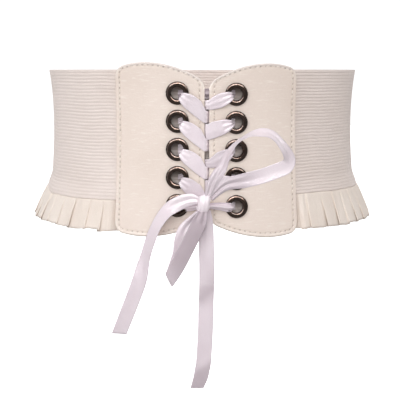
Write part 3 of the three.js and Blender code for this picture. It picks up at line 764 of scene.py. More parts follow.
def make_insert():
    """Ribbed strip behind the lacing, close to the panels at its sides and deeper between them.
    Its ribs are level, so its arched ends cut across them. Painted shade greys it behind the upper
    part of each eyelet, where the flange keeps the light from it, and less so where the bow shades it."""
    s = np.linspace(-INSERT["reach"], INSERT["reach"], INSERT["columns"] + 1)[:, None]
    u = np.maximum(np.abs(s) - PANEL["gap"] / 2, PANEL["corner"])
    low = -panel_end(u, PANEL["bottom"]) + INSERT["above_bottom"]
    high = panel_end(u, PANEL["top"]) - INSERT["below_top"]
    v = np.linspace(0, 1, INSERT["rows"] + 1)[None, :]
    z = lerp(low, high, v)
    ramp = smooth(INSERT["deep_to"], INSERT["ramp_to"], np.abs(s))
    out = lerp(INSERT["deep"], INSERT["shallow"], ramp) + 0 * v
    wall, groove = ribbed_wall(s, z, out, INSERT["wall"], z / RIB["pitch"])
    # Painted shade behind each eyelet.
    hollow = 0 * z
    for side, sign in SIDES.items():
        for row in ROWS:
            across, over = s - sign * EYELET["from_centre"], z - eyelet_z(side, row)
            shade = lerp(*EYELET_SHADE["shade"], smooth(*EYELET_SHADE["rise"], over))
            deep = EYELET_SHADE["behind_bow"] if (side, row) == ("left", 5) else 1
            hollow += smooth(*EYELET_SHADE["round"], np.hypot(across, over)) * deep * shade
    insert = make_cloth(
        "ribbed_insert", wall, ELASTIC, "elastic", s, z, groove=groove, hollow=hollow,
    )
    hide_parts("lacing_insert")


# Ruffle

# Where each visible fold turns, as the distance from the front, and how deep it is; the rest
# follow evenly.
SEEN_FOLDS = {
    "left": [(84.5, 1), (97, 0.35), (112, 1.15), (125, 0.9), (137, 0.6), (147, 0.7)],
    "right": [(76.5, 0.5), (83.5, 0.95), (98.4, 1.5), (110.8, 1.3), (121, 0.2), (132, 0.8)],
}
# Pleats are numbered from the front, and those round the sides are shallower. The end of each face
# lies in the next one's shade, which is painted: shade_at_seam is that share of it at the seam, and
# shade how much more there is at the hem.
PLEAT = {
    "count": 22, "samples": 30, "rows": 20, "face": 0.78, "lap": 0.22, "depth_at_seam": 0.2,
    "depth_at_hem": 2.2, "strip": 0.031, "end_gap": 5, "shift": 1.8, "depths": (0.5, 1.2),
    "shallow": 0.5, "shallow_from": (6.3, 7.3), "shallow_to": (12, 10), "shade_at_seam": 0.12,
    "shade": {"left": 0.22, "right": 0.36},
}


# The ruffle's small forms: the size, the length in pleats and the number of the waves that pinch it
# under the seam, roll it at the hem, and draw the hem up and down in long and in short waves; how far
# it stands out at the seam and bulges under it, and how far a fold's turn draws the hem down.
CREASE = {
    "pinch": (0.22, 0.24, 6), "roll": (0.3, 0.9), "long": (0.5, 1.3), "short": (0.22, 0.17, 7),
    "stand": 0.6, "bulge": 1.6, "turn": 0.6,
}
# The painted shade in the folds grows as the cloth comes loose, and down the ruffle from its least
# share to all of it. A thin line of painted shade runs along the hem.
FOLD_SHADE = {"loose": 0.25, "least": 0.05, "down": (0.15, 0.8), "hem": 0.3, "hem_at": (0.96, 0.99)}


def ease(t):
    """0 to 1 with t, and level at both ends but for a fifth of the slope."""
    t = np.clip(t, 0, 1)
    return t - 0.8 * np.sin(2 * np.pi * t) / (2 * np.pi)


def pleat_table(side):
    """Where each pleat starts, as the distance from the front, and how deep it is: the seen ones
    from their table, the rest evenly but for a random shift."""
    seen, deep = np.array(SEEN_FOLDS[side]).T
    count = PLEAT["count"] - len(seen)
    rest = np.linspace(seen[-1], HALF_ROUND - PLEAT["end_gap"], count + 1)[1:]
    rest[:-1] += rng.uniform(-PLEAT["shift"], PLEAT["shift"], count - 1)
    places = np.concatenate([[RUFFLE["end_at"]], seen, rest, [HALF_ROUND]])
    return places, np.concatenate([deep, rng.uniform(*PLEAT["depths"], count)])


def make_ruffle():
    """Knife pleats that turn towards the front: each face starts proud, runs on by 1 + lap and
    sinks by its depth under the next one, then comes back to where that one starts."""
    halves = []
    count = PLEAT["count"]
    q = np.linspace(0, count, count * PLEAT["samples"] + 1)[:, None]
    down = np.linspace(0, 1, PLEAT["rows"])[None, :] ** 1.3
    number = np.minimum(q.astype(int), count - 1)
    knots = np.concatenate([np.arange(count + 1), [count + 0.5]])
    face = ease((q - number) / PLEAT["face"])
    back = ease((q - number - PLEAT["face"]) / (1 - PLEAT["face"]))
    shallow = smooth(*PLEAT["shallow_from"], q) * smooth(*PLEAT["shallow_to"], q)
    for side, sign in SIDES.items():
        places, depths = pleat_table(side)
        depths = depths[number] * lerp(1, PLEAT["shallow"], shallow)
        lap = PLEAT["lap"] * lerp(0.7, 1, depths)
        turned = number + (1 + lap) * face - lap * back
        distance = np.interp(turned, knots, places) + 0 * down
        distance = distance * (HALF_ROUND / distance[-1])
        loose = smooth(RUFFLE["held_to"], RUFFLE["free_from"], distance)
        aside = np.sin(angle_at(distance)) ** 2
        swing = lerp(*RUFFLE["swing"], aside) * down ** lerp(*RUFFLE["curve"], aside)
        bulge = CREASE["bulge"] * smooth(0, 0.03, down) * (1 - 0.8 * down)
        puff = CREASE["stand"] * (1 - down) + bulge
        depth = lerp(PLEAT["depth_at_seam"], PLEAT["depth_at_hem"], down ** 0.8) * depths
        pinch = ripple(q, *CREASE["pinch"]) * (1 - down) ** 1.5
        pinch = pinch + ripple(q + 0.2 * down, *CREASE["roll"]) * down
        out = RUFFLE["out"] + loose * (swing + puff + depth * (0.5 - face + back) + pinch)
        s = sign * distance
        out = out + turn_out(s, 0)
        seam, hem = lower_edge(s, SEAM), lower_edge(s, HEM)
        uneven = ripple(q, *CREASE["long"]) + ripple(q, *CREASE["short"])
        uneven = uneven + CREASE["turn"] * (0.5 - face + back) * depths
        z = lerp(seam, hem + uneven * loose, down)
        tuck_out = RUFFLE["out"] + turn_out(s[:, :1], RUFFLE["tuck"])
        tucked = on_waist(s[:, :1], seam[:, :1] + RUFFLE["tuck"], tuck_out)
        middle = np.concatenate([tucked, on_waist(s, z, out)], axis=1)
        # Painted shade: the end of each face in the next one's shade, and a thin line along the hem.
        reach = PLEAT["shade_at_seam"] + PLEAT["shade"][side] * down
        hidden = smooth(1 - reach, 1, face) * smooth(1, 0.6, back)
        groove = hidden * smooth(0, FOLD_SHADE["loose"], loose) * np.minimum(depths, 1) ** 1.5
        groove = groove * lerp(FOLD_SHADE["least"], 1, smooth(*FOLD_SHADE["down"], down))
        groove = np.maximum(groove, FOLD_SHADE["hem"] * smooth(*FOLD_SHADE["hem_at"], down))
        groove = np.concatenate([groove[:, :1] * 0, groove], axis=1)
        halves.append((middle[::sign], groove[::sign]))
    middle = np.concatenate([halves[1][0], halves[0][0][1:]])
    groove = np.concatenate([halves[1][1], halves[0][1][1:]])
    along = run_length(middle[:, PLEAT["rows"] // 2])
    ruffle = make_cloth(
        "pleated_ruffle", cloth_wall(middle, RUFFLE["wall"]), RUFFLE_CLOTH, "ruffle_cloth",
        along[:, None], middle[..., 2], groove=groove,
    )
    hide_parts("ruffle")


# Front panels

# How far the seam lies in from each edge, its corners' radius, the stitches' pitch and length
# along it, and the points taken per stitch and the share of the pitch at which a stitch starts.
SEW = {
    "top": 2.2, "bottom": 3.3, "inner": 3.9, "outer": 3.2, "corner": 3.8, "pitch": 4.25,
    "length": 3.1, "points": 16, "start": 0.135,
}
EDGE_STEPS = np.array([0, 0.08, 0.28, 0.6, 1.0, 1.5, 2.0, 2.5, 3.0, 3.5, 4.0, 4.6, 5.4])


def closed_outline(inner, outer, top, bottom, radius, samples=420):
    """Closed line (u, z) set in from a panel's edges, with rounded corners: up the outer part of
    the top, back along the bottom."""
    t = (1 - np.cos(np.linspace(0, np.pi, samples))) / 2
    u = lerp(inner, PANEL["width"] - outer, t)
    drop = corner_drop(u - inner, radius) + corner_drop(PANEL["width"] - outer - u, radius)
    high = panel_end(u, PANEL["top"]) - top - drop
    low = -(panel_end(u, PANEL["bottom"]) - bottom - drop)
    line = np.concatenate([np.stack([u, high], -1), np.stack([u, low], -1)[::-1]])
    return np.concatenate([line, line[:1]])


def resampled(line, count):
    """The closed line as evenly spaced points, one more than count, and its length."""
    length = run_length(line)
    at = np.linspace(0, length[-1], count + 1)
    points = np.stack([np.interp(at, length, line[:, k]) for k in range(line.shape[1])], -1)
    return points, length[-1]


def nearest(points, line):
    """Each point's distance from the nearest point of a line, and that point's number."""
    best = np.full(len(points), 1e9)
    which = np.zeros(len(points), int)
    for start in range(0, len(line), 200):
        gaps = np.hypot(*(points[:, None, :] - line[None, start:start + 200]).transpose(2, 0, 1))
        low = gaps.argmin(axis=1)
        value = gaps[np.arange(len(points)), low]
        closer = value < best
        best[closer], which[closer] = value[closer], low[closer] + start
    return best, which


def eyelet_z(side, row):
    """Height of an eyelet's centre."""
    return EYELET["top_z"] - (row - 1) * EYELET["pitch"] + PANEL["rise"][side]


EDGE = closed_outline(0, 0, 0, 0, PANEL["corner"])
SEAM_LINE = closed_outline(SEW["inner"], SEW["outer"], SEW["top"], SEW["bottom"], SEW["corner"])


def panel_grid():
    """Points (u, z) of a panel: columns and rows crowd towards the edges, and the rows follow the
    arched ends."""
    span = PANEL["width"]
    u = np.concatenate([EDGE_STEPS, np.linspace(EDGE_STEPS[-1], span - EDGE_STEPS[-1], 76)[1:-1],
                        span - EDGE_STEPS[::-1]])
    drop = corner_drop(u, PANEL["corner"]) + corner_drop(span - u, PANEL["corner"])
    high = (panel_end(u, PANEL["top"]) - drop)[:, None]
    low = (drop - panel_end(u, PANEL["bottom"]))[:, None]
    between = np.linspace(0, 1, 146)[None, 1:-1]
    z = np.concatenate([
        low + EDGE_STEPS, lerp(low + EDGE_STEPS[-1], high - EDGE_STEPS[-1], between),
        high - EDGE_STEPS[::-1],
    ], axis=1)
    return u[:, None] + 0 * z, z


# The panel's face: the half width and depth of the seam's groove, the pucker's depth at each needle
# hole, the share of both on the inner face, a needle hole's radius and the least and greatest share of
# its painted shade, the lift of the edge outside the seam and between which gaps it comes, the press
# of the flanges, the size and length of the slow waves, and the reach of the rubbed rim, of the
# painted shade along the top edge where it turns away, and of the painted shade on the downward foot.
FACE = {
    "groove": (0.75, 0.24), "pucker": 0.22, "behind": 0.4, "needle": 0.5, "needle_shade": (0.45, 0.95),
    "lift": 0.12, "lift_from": (0.3, 1.4), "lift_to": 1.2, "press": 0.12, "slack": (0.07, 17),
    "rim": 1.3, "turned": (2.5, 1.7), "foot": (1.1, 0.4),
}
# The hole in the leather under a flange: its radius, the reach within which points move onto its
# rim, and the width of the ring that the flange presses in.
HOLE = {"radius": EYELET["bore"] + 0.9, "reach": 0.45, "pressed": 2.2}


def cut_holes(flat, side):
    """The points with those round each hole moved onto its rim, which of them lie inside a hole,
    and how hard the flanges press there."""
    inside = np.zeros(len(flat), bool)
    press = np.zeros(len(flat))
    for row in ROWS:
        height = eyelet_z(side, row) - PANEL["rise"][side]
        centre = np.array([EYELET["from_centre"] - PANEL["gap"] / 2, height])
        away = flat - centre
        r = np.hypot(*away.T)
        press += np.exp(-((r - EYELET["flange"]) / HOLE["pressed"]) ** 2)
        near = r < HOLE["radius"] + HOLE["reach"]
        flat[near] = centre + away[near] / np.maximum(r[near], 1e-6)[:, None] * HOLE["radius"]
        inside |= r < HOLE["radius"] - HOLE["reach"]
    return flat, inside, press


def make_panel(side):
    """Front panel: its face rounds off at the edge, dips along the seam and at each needle hole,
    and is cut by five round holes."""
    u, z = panel_grid()
    flat, inside, press = cut_holes(np.stack([u.ravel(), z.ravel()], -1), side)
    edge_gap, _ = nearest(flat, EDGE)
    count = round(run_length(SEAM_LINE)[-1] / SEW["pitch"])
    line, length = resampled(SEAM_LINE, count * SEW["points"])
    seam_gap, at = nearest(flat, line[:-1])
    stitch = at / SEW["points"]
    hole = np.minimum(stitch % 1, 1 - stitch % 1) * length / count
    wide, deep = FACE["groove"]
    pucker = np.exp(-(hole / wide) ** 2)
    shade = rng.uniform(*FACE["needle_shade"], count + 1)[np.round(stitch).astype(int)]
    groove = np.exp(-(seam_gap / wide) ** 2)
    roll = PANEL["wall"] / 2 - 0.05
    rounding = roll * (1 - np.sqrt(1 - (1 - np.clip(edge_gap / roll, 0, 1)) ** 2))
    within = 1 - smooth(SEW["bottom"] - FACE["lift_to"], SEW["bottom"], edge_gap)
    within = smooth(*FACE["lift_from"], edge_gap) * within
    sink = groove * (deep + FACE["pucker"] * pucker)
    slack = ripple(flat @ (1, 0.4), *FACE["slack"]) * smooth(4, 9, edge_gap)
    front = FACE["lift"] * within - rounding - sink - FACE["press"] * press + slack
    back = -PANEL["wall"] + rounding + FACE["behind"] * sink
    s = SIDES[side] * (flat[:, 0] + PANEL["gap"] / 2)
    height = flat[:, 1] + PANEL["rise"][side]
    points = np.concatenate([on_waist(s, height, front), on_waist(s, height, back)])
    from_top = panel_end(flat[:, 0], PANEL["top"]) - flat[:, 1]
    from_bottom = flat[:, 1] + panel_end(flat[:, 0], PANEL["bottom"])
    quads = grid_faces(*u.shape)
    used, faces = closed_wall(quads[~inside[quads].any(axis=1)], len(flat))
    masks = {
        "rim": both_sides(np.exp(-(edge_gap / FACE["rim"]) ** 2))[used],
        # The needle, turned and foot masks carry painted shade: in the needle holes, along the top edge
        # and on the foot.
        "needle": both_sides(pucker * np.exp(-(seam_gap / FACE["needle"]) ** 2) * shade)[used],
        "turned": both_sides(smooth(*FACE["turned"], from_top))[used],
        "foot": both_sides(smooth(*FACE["foot"], from_bottom))[used],
    }
    skin = make_piece(
        f"panel_{side}_skin", points[used], [faces], LEATHER, "faux_leather", None, masks,
    )
    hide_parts(f"panel_{side}")
    make_stitches(side, line, count)


# A stitch: how far its ends lie sunk in, how much its middle rises, and its least and most radius.
STITCH = {"steps": 7, "around": 6, "sunk": -0.62, "rise": 0.72, "radius": (0.16, 0.33)}


def make_stitches(side, line, count):
    """A stitch between each pair of needle holes: a bent tube that rises out of one hole and
    dips into the next."""
    steps = STITCH["steps"]
    share = SEW["start"] + np.linspace(0, SEW["length"] / SEW["pitch"], steps)
    at = (np.arange(count)[:, None] + share) * SEW["points"]
    wrapped = np.arange(len(line))
    u, z = (np.interp(at, wrapped, line[:, k]) for k in (0, 1))
    du, dz = (np.interp(at, wrapped, np.gradient(line[:, k])) for k in (0, 1))
    norm = np.hypot(du, dz)
    arch = np.sin(np.pi * np.linspace(0, 1, steps))[None, :]
    out = STITCH["sunk"] + STITCH["rise"] * arch ** 0.7 + 0 * u
    sign = SIDES[side]
    s = sign * (u + PANEL["gap"] / 2)
    height = z + PANEL["rise"][side]
    middle = on_waist(s, height, out)
    outs = unit(on_waist(s, height, out + 0.5) - middle)
    sides = unit(on_waist(s + sign * dz / norm * 0.5, height - du / norm * 0.5, out) - middle)
    thick = np.sin(np.pi * np.linspace(0.08, 0.92, steps)) ** 0.5
    radius = lerp(*STITCH["radius"], thick)
    points, faces = tubes(middle, outs, sides, radius, STITCH["around"])
    make_piece(f"edge_stitches_{side}", points, faces, THREAD, "faux_leather")


# Eyelets

def slope_arc(start, height, reach, steep, flat, steps=7):
    """Arc (radius, out) that tilts from one slope to another, in degrees, over a reach outwards."""
    tilt = np.radians(np.linspace(flat, steep, steps))
    size = reach / (np.sin(tilt[-1]) - np.sin(tilt[0]))
    across = start + size * (np.sin(tilt) - np.sin(tilt[0]))
    return np.stack([across, height - size * (np.cos(tilt[0]) - np.cos(tilt))], -1)


def eyelet_profile():
    """Closed line (radius, out): a flange that falls from its crest in two cones, one into the
    bore and one out to a rounded edge, then the barrel and a rolled washer behind."""
    slope, crest, height = EYELET["slope"], EYELET["crest"], EYELET["height"]
    inner_cone, outer_cone = EYELET["cones"]
    drop = math.tan(math.radians(slope))
    top = slope_arc(crest, height, 1.0, slope, 0)
    start = top[-1] + (outer_cone, -outer_cone * drop)
    edge = slope_arc(start[0], start[1], EYELET["flange"] - start[0], 88, slope)
    lip = slope_arc(0, height, 0.7, slope, 0)
    start = lip[-1] + (inner_cone, -inner_cone * drop)
    bore = slope_arc(start[0], start[1], crest - start[0] - EYELET["bore"], 88, slope)
    inner = np.concatenate([lip, bore])[:0:-1] * (-1, 1) + (crest, 0)
    flange, hole, back, bead = EYELET["flange"], EYELET["bore"], EYELET["back"], EYELET["bead"]
    under = [(flange, 0.08), (flange - 0.35, -0.02), (hole + 0.7, 0.1), (hole + 0.6, -2.5)]
    t = np.linspace(np.pi / 2, -np.pi / 2, 7)
    centre = (EYELET["washer"] - bead, back + bead)
    roll = centre + bead * np.stack([np.cos(t), np.sin(t)], -1)
    barrel = [(hole + 0.35, back), (hole, back + 0.35)]
    return np.concatenate([inner, top, edge, under, roll, barrel])


def make_eyelet(side, row, around=64):
    """The profile turned round an axis that stands square on the waist's surface."""
    s, z = SIDES[side] * EYELET["from_centre"], eyelet_z(side, row)
    foot = on_waist(s, z, 0.0)
    round_it = unit(on_waist(s + 1, z, 0.0) - on_waist(s - 1, z, 0.0))
    up = unit(on_waist(s, z + 1, 0.0) - on_waist(s, z - 1, 0.0))
    square = np.cross(round_it, up)
    profile = eyelet_profile()
    t = np.arange(around) * 2 * np.pi / around
    spoke = np.cos(t)[:, None] * round_it + np.sin(t)[:, None] * up
    points = (foot + profile[:, None, :1] * spoke[None] + profile[:, None, 1:] * square).reshape(-1, 3)
    faces = grid_faces(len(profile), around, round_columns=True, round_rows=True)
    crest = np.exp(-((profile[:, 1] - EYELET["height"]) / 0.35) ** 2)
    piece = make_piece(
        f"rolled_eyelet_{side}_{row}", points, [faces], METAL, "eyelet_metal", None,
        {"rim": np.repeat(crest, around)},
    )
    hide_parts(f"eyelet_{side}_{row}")


# Ribbon

# The lower edge starts to bend back so far from the ribbon's middle, and by this power of the rest.
LIP = {"from": 0.15, "power": 1.4}


def folded_ribbon(centre, half, folds, phase, outwards=None, arch=0.0, limit=1.5, lip=0.0, across=17):
    """Middle surface of a ribbon: centre + w half, for w from -1 to 1, and a fold cos(pi folds w +
    phase) that takes up the width that the gathered ribbon lacks, plus an arch across it and a
    lower edge that bends back by lip."""
    w = np.linspace(-1, 1, across)[None, :, None]
    gathered = 2 * np.linalg.norm(half, axis=1)
    missing = np.maximum(RIBBON["width"] / gathered - 1, 0)
    depth = np.minimum(gathered / (np.pi * folds) * np.sqrt(missing), limit)[:, None, None]
    normal = unit(np.cross(np.gradient(centre, axis=0), half))
    if outwards is not None:
        normal *= np.sign(np.einsum("ij,ij->i", normal, outwards))[:, None]
    arch, lip = (np.broadcast_to(v, len(centre))[:, None, None] for v in (arch, lip))
    lift = depth * np.cos(np.pi * folds * w + phase) + arch * (1 / 3 - w * w)
    lift = lift - lip * np.clip(-LIP["from"] - w, 0, 1) ** LIP["power"]
    return centre[:, None] + w * half[:, None] + lift * normal[:, None]


def make_ribbon(node, middle, dull):
    """A stretch of ribbon on its middle surface. Its last argument is painted shade: how far the satin
    has turned from the light there, for each step and place across or for all."""
    centre = middle[:, middle.shape[1] // 2]
    along = run_length(centre)
    across = np.linspace(-1, 1, middle.shape[1])
    size = middle.shape[:2]
    piece = make_cloth(
        f"{node}_satin", cloth_wall(middle, RIBBON["wall"]), SATIN, "satin_ribbon",
        along[:, None], across[None] * RIBBON["width"] / 2,
        selvedge=np.broadcast_to(smooth(0.82, 0.95, np.abs(across)), size),
        dull=np.broadcast_to(dull, size),
    )
    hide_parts(node)
    return piece


# The places that a lacing stretch runs through, from its eyelet's bore over the flange and its own
# panel. Its middle lies to_gap from the eyelet's centre towards the gap and below it, and its width
# line leans by turn degrees from upright, its upper end towards the gap.
OVER_PANEL = {
    # to_gap, below, out, width, turn
    "left": [
        (2.9, 2.0, -3.4, 4.9, 35), (2.9, 2.0, 0.6, 5.3, 35), (3.6, 2.5, 2.2, 6.7, 35),
        (5.7, 4.0, 2.75, 9.4, 35), (7.8, 5.5, 2.6, 11.0, 35), (9.7, 6.9, 2.3, 11.9, 35),
        (12.5, 9.1, 1.9, 12.3, 32), (16.5, 12.4, 1.4, 12.9, 20), (20.3, 16.2, 1.0, 13.6, 0),
        (21.6, 17.6, 0.8, 11.8, 0), (22.6, 18.7, 0.4, 10.2, 0), (23.7, 18.9, -0.3, 9.8, 0),
    ],
}
# The right strands share to_gap and out, and have a below, width and turn of their own.
RIGHT_WAY = [
    # to_gap, out
    (3.4, -3.4), (3.4, 0.6), (4.2, 2.2), (6.7, 2.75), (9, 2.6), (11.2, 2.2), (14, 1.7), (17.5, 1.2),
    (20.7, 0.85), (21.6, 0.7), (22.8, 0.4), (24.1, 0), (24.7, -0.7),
]
RIGHT_SHAPES = {
    # below, width, turn
    "narrow": [
        (0.9, 4.9, 15), (0.9, 5.2, 15), (1.2, 6.2, 15), (2.3, 8.6, 14), (3.3, 10, 12), (4.2, 11, 12),
        (5.3, 11.2, 10), (6.6, 10.4, 6), (7.9, 8.4, 0), (8.2, 7.8, 0), (8.3, 7.4, 0), (8.3, 7.4, 0),
        (8.3, 7.4, 0),
    ],
    "wide": [
        (0.9, 4.9, 15), (0.9, 5.2, 15), (1.2, 6.4, 15), (2, 9.2, 14), (2.8, 10.8, 12),
        (3.6, 11.8, 12), (4.5, 12.4, 10), (5.6, 13.2, 6), (6.7, 13.4, 0), (7, 13, 0), (7.3, 12.6, 0),
        (7.3, 12.4, 0), (7.3, 12.2, 0),
    ],
    "steep": [
        (0.9, 4.9, 15), (0.9, 5.2, 15), (1.3, 6.2, 18), (2.8, 8.6, 22), (4.1, 10, 22), (5.3, 11, 22),
        (6.7, 11, 18), (8.4, 9.8, 8), (9.8, 7.6, 0), (10, 7, 0), (10.1, 6.4, 0), (10.1, 6.2, 0),
        (10.1, 6.2, 0),
    ],
}
for name, shape in RIGHT_SHAPES.items():
    OVER_PANEL[name] = [
        (to_gap, below, out, width, turn)
        for (to_gap, out), (below, width, turn) in zip(RIGHT_WAY, shape)
    ]
OVER_PANEL_OF = {"left": ["left"] * 4, "right": ["narrow", "wide", "steep", "wide"]}
# Painted shade on each lacing stretch: how far it is turned from the light.
SHADED = {
    ("left", 1): 0.15, ("left", 2): 0, ("left", 3): 0, ("left", 4): 0.26, ("left", 5): 0.04,
    ("right", 1): 0.06, ("right", 2): 0.08, ("right", 3): 0.34, ("right", 4): 0.3, ("right", 5): 0.3,
}
# From the gap to the back of the other panel's next eyelet: across is measured from the middle
# of the gap, fall is the share of the way down, and width is a share of the width in the gap.
BEHIND_PANEL = [
    # across, out, fall, width
    (1.3, -2.4, 0, 1), (1.9, -2.75, 0, 0.98), (6, -3.2, 0.1, 0.95), (13, -4.1, 0.5, 0.8),
    (18, -4.4, 0.85, 0.68), (23.4, -4.4, 1, 0.6),
]
TOP_BAR = [(-23.4, 5), (-14, 7), (0, 7.8), (14, 7), (23.4, 5)]
TO_KNOT = {
    # to_gap, below, out, width, turn, arch
    "left": [
        (3.2, 0.4, -3.4, 4.8, 0, 0), (3.2, 0.4, 0.8, 5.0, 0, 0), (4.2, 0.7, 2.4, 5.8, 0, 0.5),
        (6.9, 0.7, 2.9, 7, 0, 0.8), (9.3, 0.6, 2.8, 7, 0, 1), (13.5, 0.5, 2.7, 6, 0, 1.1),
        (16.9, 0.1, 4.2, 4.4, 0, 1),
    ],
    "right": [
        (3.2, 0.4, -3.4, 4.8, 0, 0), (3.2, 0.4, 0.8, 5.2, 0, 0), (4.2, 0.4, 2.7, 6.2, 0, 0.4),
        (6.9, 0.2, 3.3, 7, 0, 1.0), (9.3, 0, 3.2, 6.8, 0, 1.4), (14, -0.6, 3.0, 6, 0, 1.7),
        (20.2, -1.1, 4.9, 4.4, 0, 1.3), (23.4, -1.1, 6, 4.2, 0, 1.2),
    ],
}


LACE_STEPS = 5


def between_edges(rows):
    """A ribbon along the waist between two edges. Each row has s and z of its upper end and of
    its lower end, then out and arch. Gives the middle, half the width line, outward and arch."""
    top_s, top_z, low_s, low_z, out, arch = spline(rows, LACE_STEPS).T
    high, low = on_waist(top_s, top_z, out), on_waist(low_s, low_z, out)
    s, z = (top_s + low_s) / 2, (top_z + low_z) / 2
    outwards = unit(on_waist(s, z, out + 1) - on_waist(s, z, out))
    return (high + low) / 2, (high - low) / 2, outwards, arch


def from_eyelet(side, row, places):
    """Rows for between_edges from places that are measured from an eyelet's centre."""
    places = np.asarray(places, float)
    to_gap, below, out, width, turn = places[:, :5].T
    aside, upright = width / 2 * np.sin(np.radians(turn)), width / 2 * np.cos(np.radians(turn))
    sign, z = SIDES[side], eyelet_z(side, row) - below
    s_of = EYELET["from_centre"] - to_gap
    arch = places[:, 5] if places.shape[1] > 5 else 0 * out
    return np.stack([
        sign * (s_of - aside), z + upright, sign * (s_of + aside), z - upright, out, arch,
    ], -1)


# How deep a stretch's folds may be as it leaves its eyelet and where it lies flat, how far its
# lower edge bends back there, and how much more painted shade greys that edge on the right. It opens
# between two steps of its curve, and closes within so many steps behind the gap.
CROSSING = {
    "fold": {"left": 0.26, "right": 0.6}, "flat_fold": 0.12, "lip": 0.7, "low_shade": 0.12,
    "low_from": (-0.05, -0.3), "opens": (6, 36), "closes": 12,
}


def make_crossing(side, row):
    """From one eyelet over its own panel to the gap, then down behind the other panel to that
    panel's next eyelet."""
    other = "right" if side == "left" else "left"
    table = OVER_PANEL[OVER_PANEL_OF[side][row - 1]]
    over = from_eyelet(side, row, table)
    gap_z, gap_width = (over[-1, 1] + over[-1, 3]) / 2, table[-1][3]
    behind = []
    for across, out, fall, width in BEHIND_PANEL:
        s, z = SIDES[other] * across, lerp(gap_z, eyelet_z(other, row + 1), fall)
        half = width * gap_width / 2
        behind.append((s, z + half, s, z - half, out, 0))
    centre, half, outwards, arch = between_edges(np.concatenate([over, behind]))
    step, last = np.arange(len(centre)), LACE_STEPS * len(over)
    flat = smooth(*CROSSING["opens"], step) * (1 - smooth(last, last + CROSSING["closes"], step))
    fold = lerp(CROSSING["fold"][side], CROSSING["flat_fold"], flat)
    middle = folded_ribbon(
        centre, half, folds=2.5, phase=rng.uniform(-0.8, 0.8), outwards=outwards, arch=arch,
        limit=fold, lip=CROSSING["lip"] * flat,
    )
    across = np.linspace(-1, 1, middle.shape[1])[None]
    # Painted shade: the stretch's own share, and more along the lower edge of a right stretch.
    shade = CROSSING["low_shade"] if side == "right" else 0
    low = shade * flat[:, None] * smooth(*CROSSING["low_from"], across)
    make_ribbon(f"lace_{side}_{row}", middle, low + SHADED[side, row])


def make_top_bar():
    """The stretch behind the panels between the two top eyelets."""
    z = EYELET["top_z"]
    rows = [(s, z + width / 2, s, z - width / 2, -4.2, 0) for s, width in TOP_BAR]
    centre, half, outwards, arch = between_edges(rows)
    middle = folded_ribbon(centre, half, folds=1.5, phase=0, outwards=outwards, arch=arch, limit=0.9)
    # Painted shade: the bar lies behind the panels, out of the light.
    make_ribbon("lace_top_bar", middle, dull=0.7)


def make_to_knot(side):
    """The stretch from a lowest eyelet to the knot."""
    centre, half, outwards, arch = between_edges(from_eyelet(side, EYELET["rows"], TO_KNOT[side]))
    middle = folded_ribbon(centre, half, folds=1.5, phase=0.4, outwards=outwards, arch=arch)
    make_ribbon(f"lace_{side}_5", middle, SHADED[side, 5])
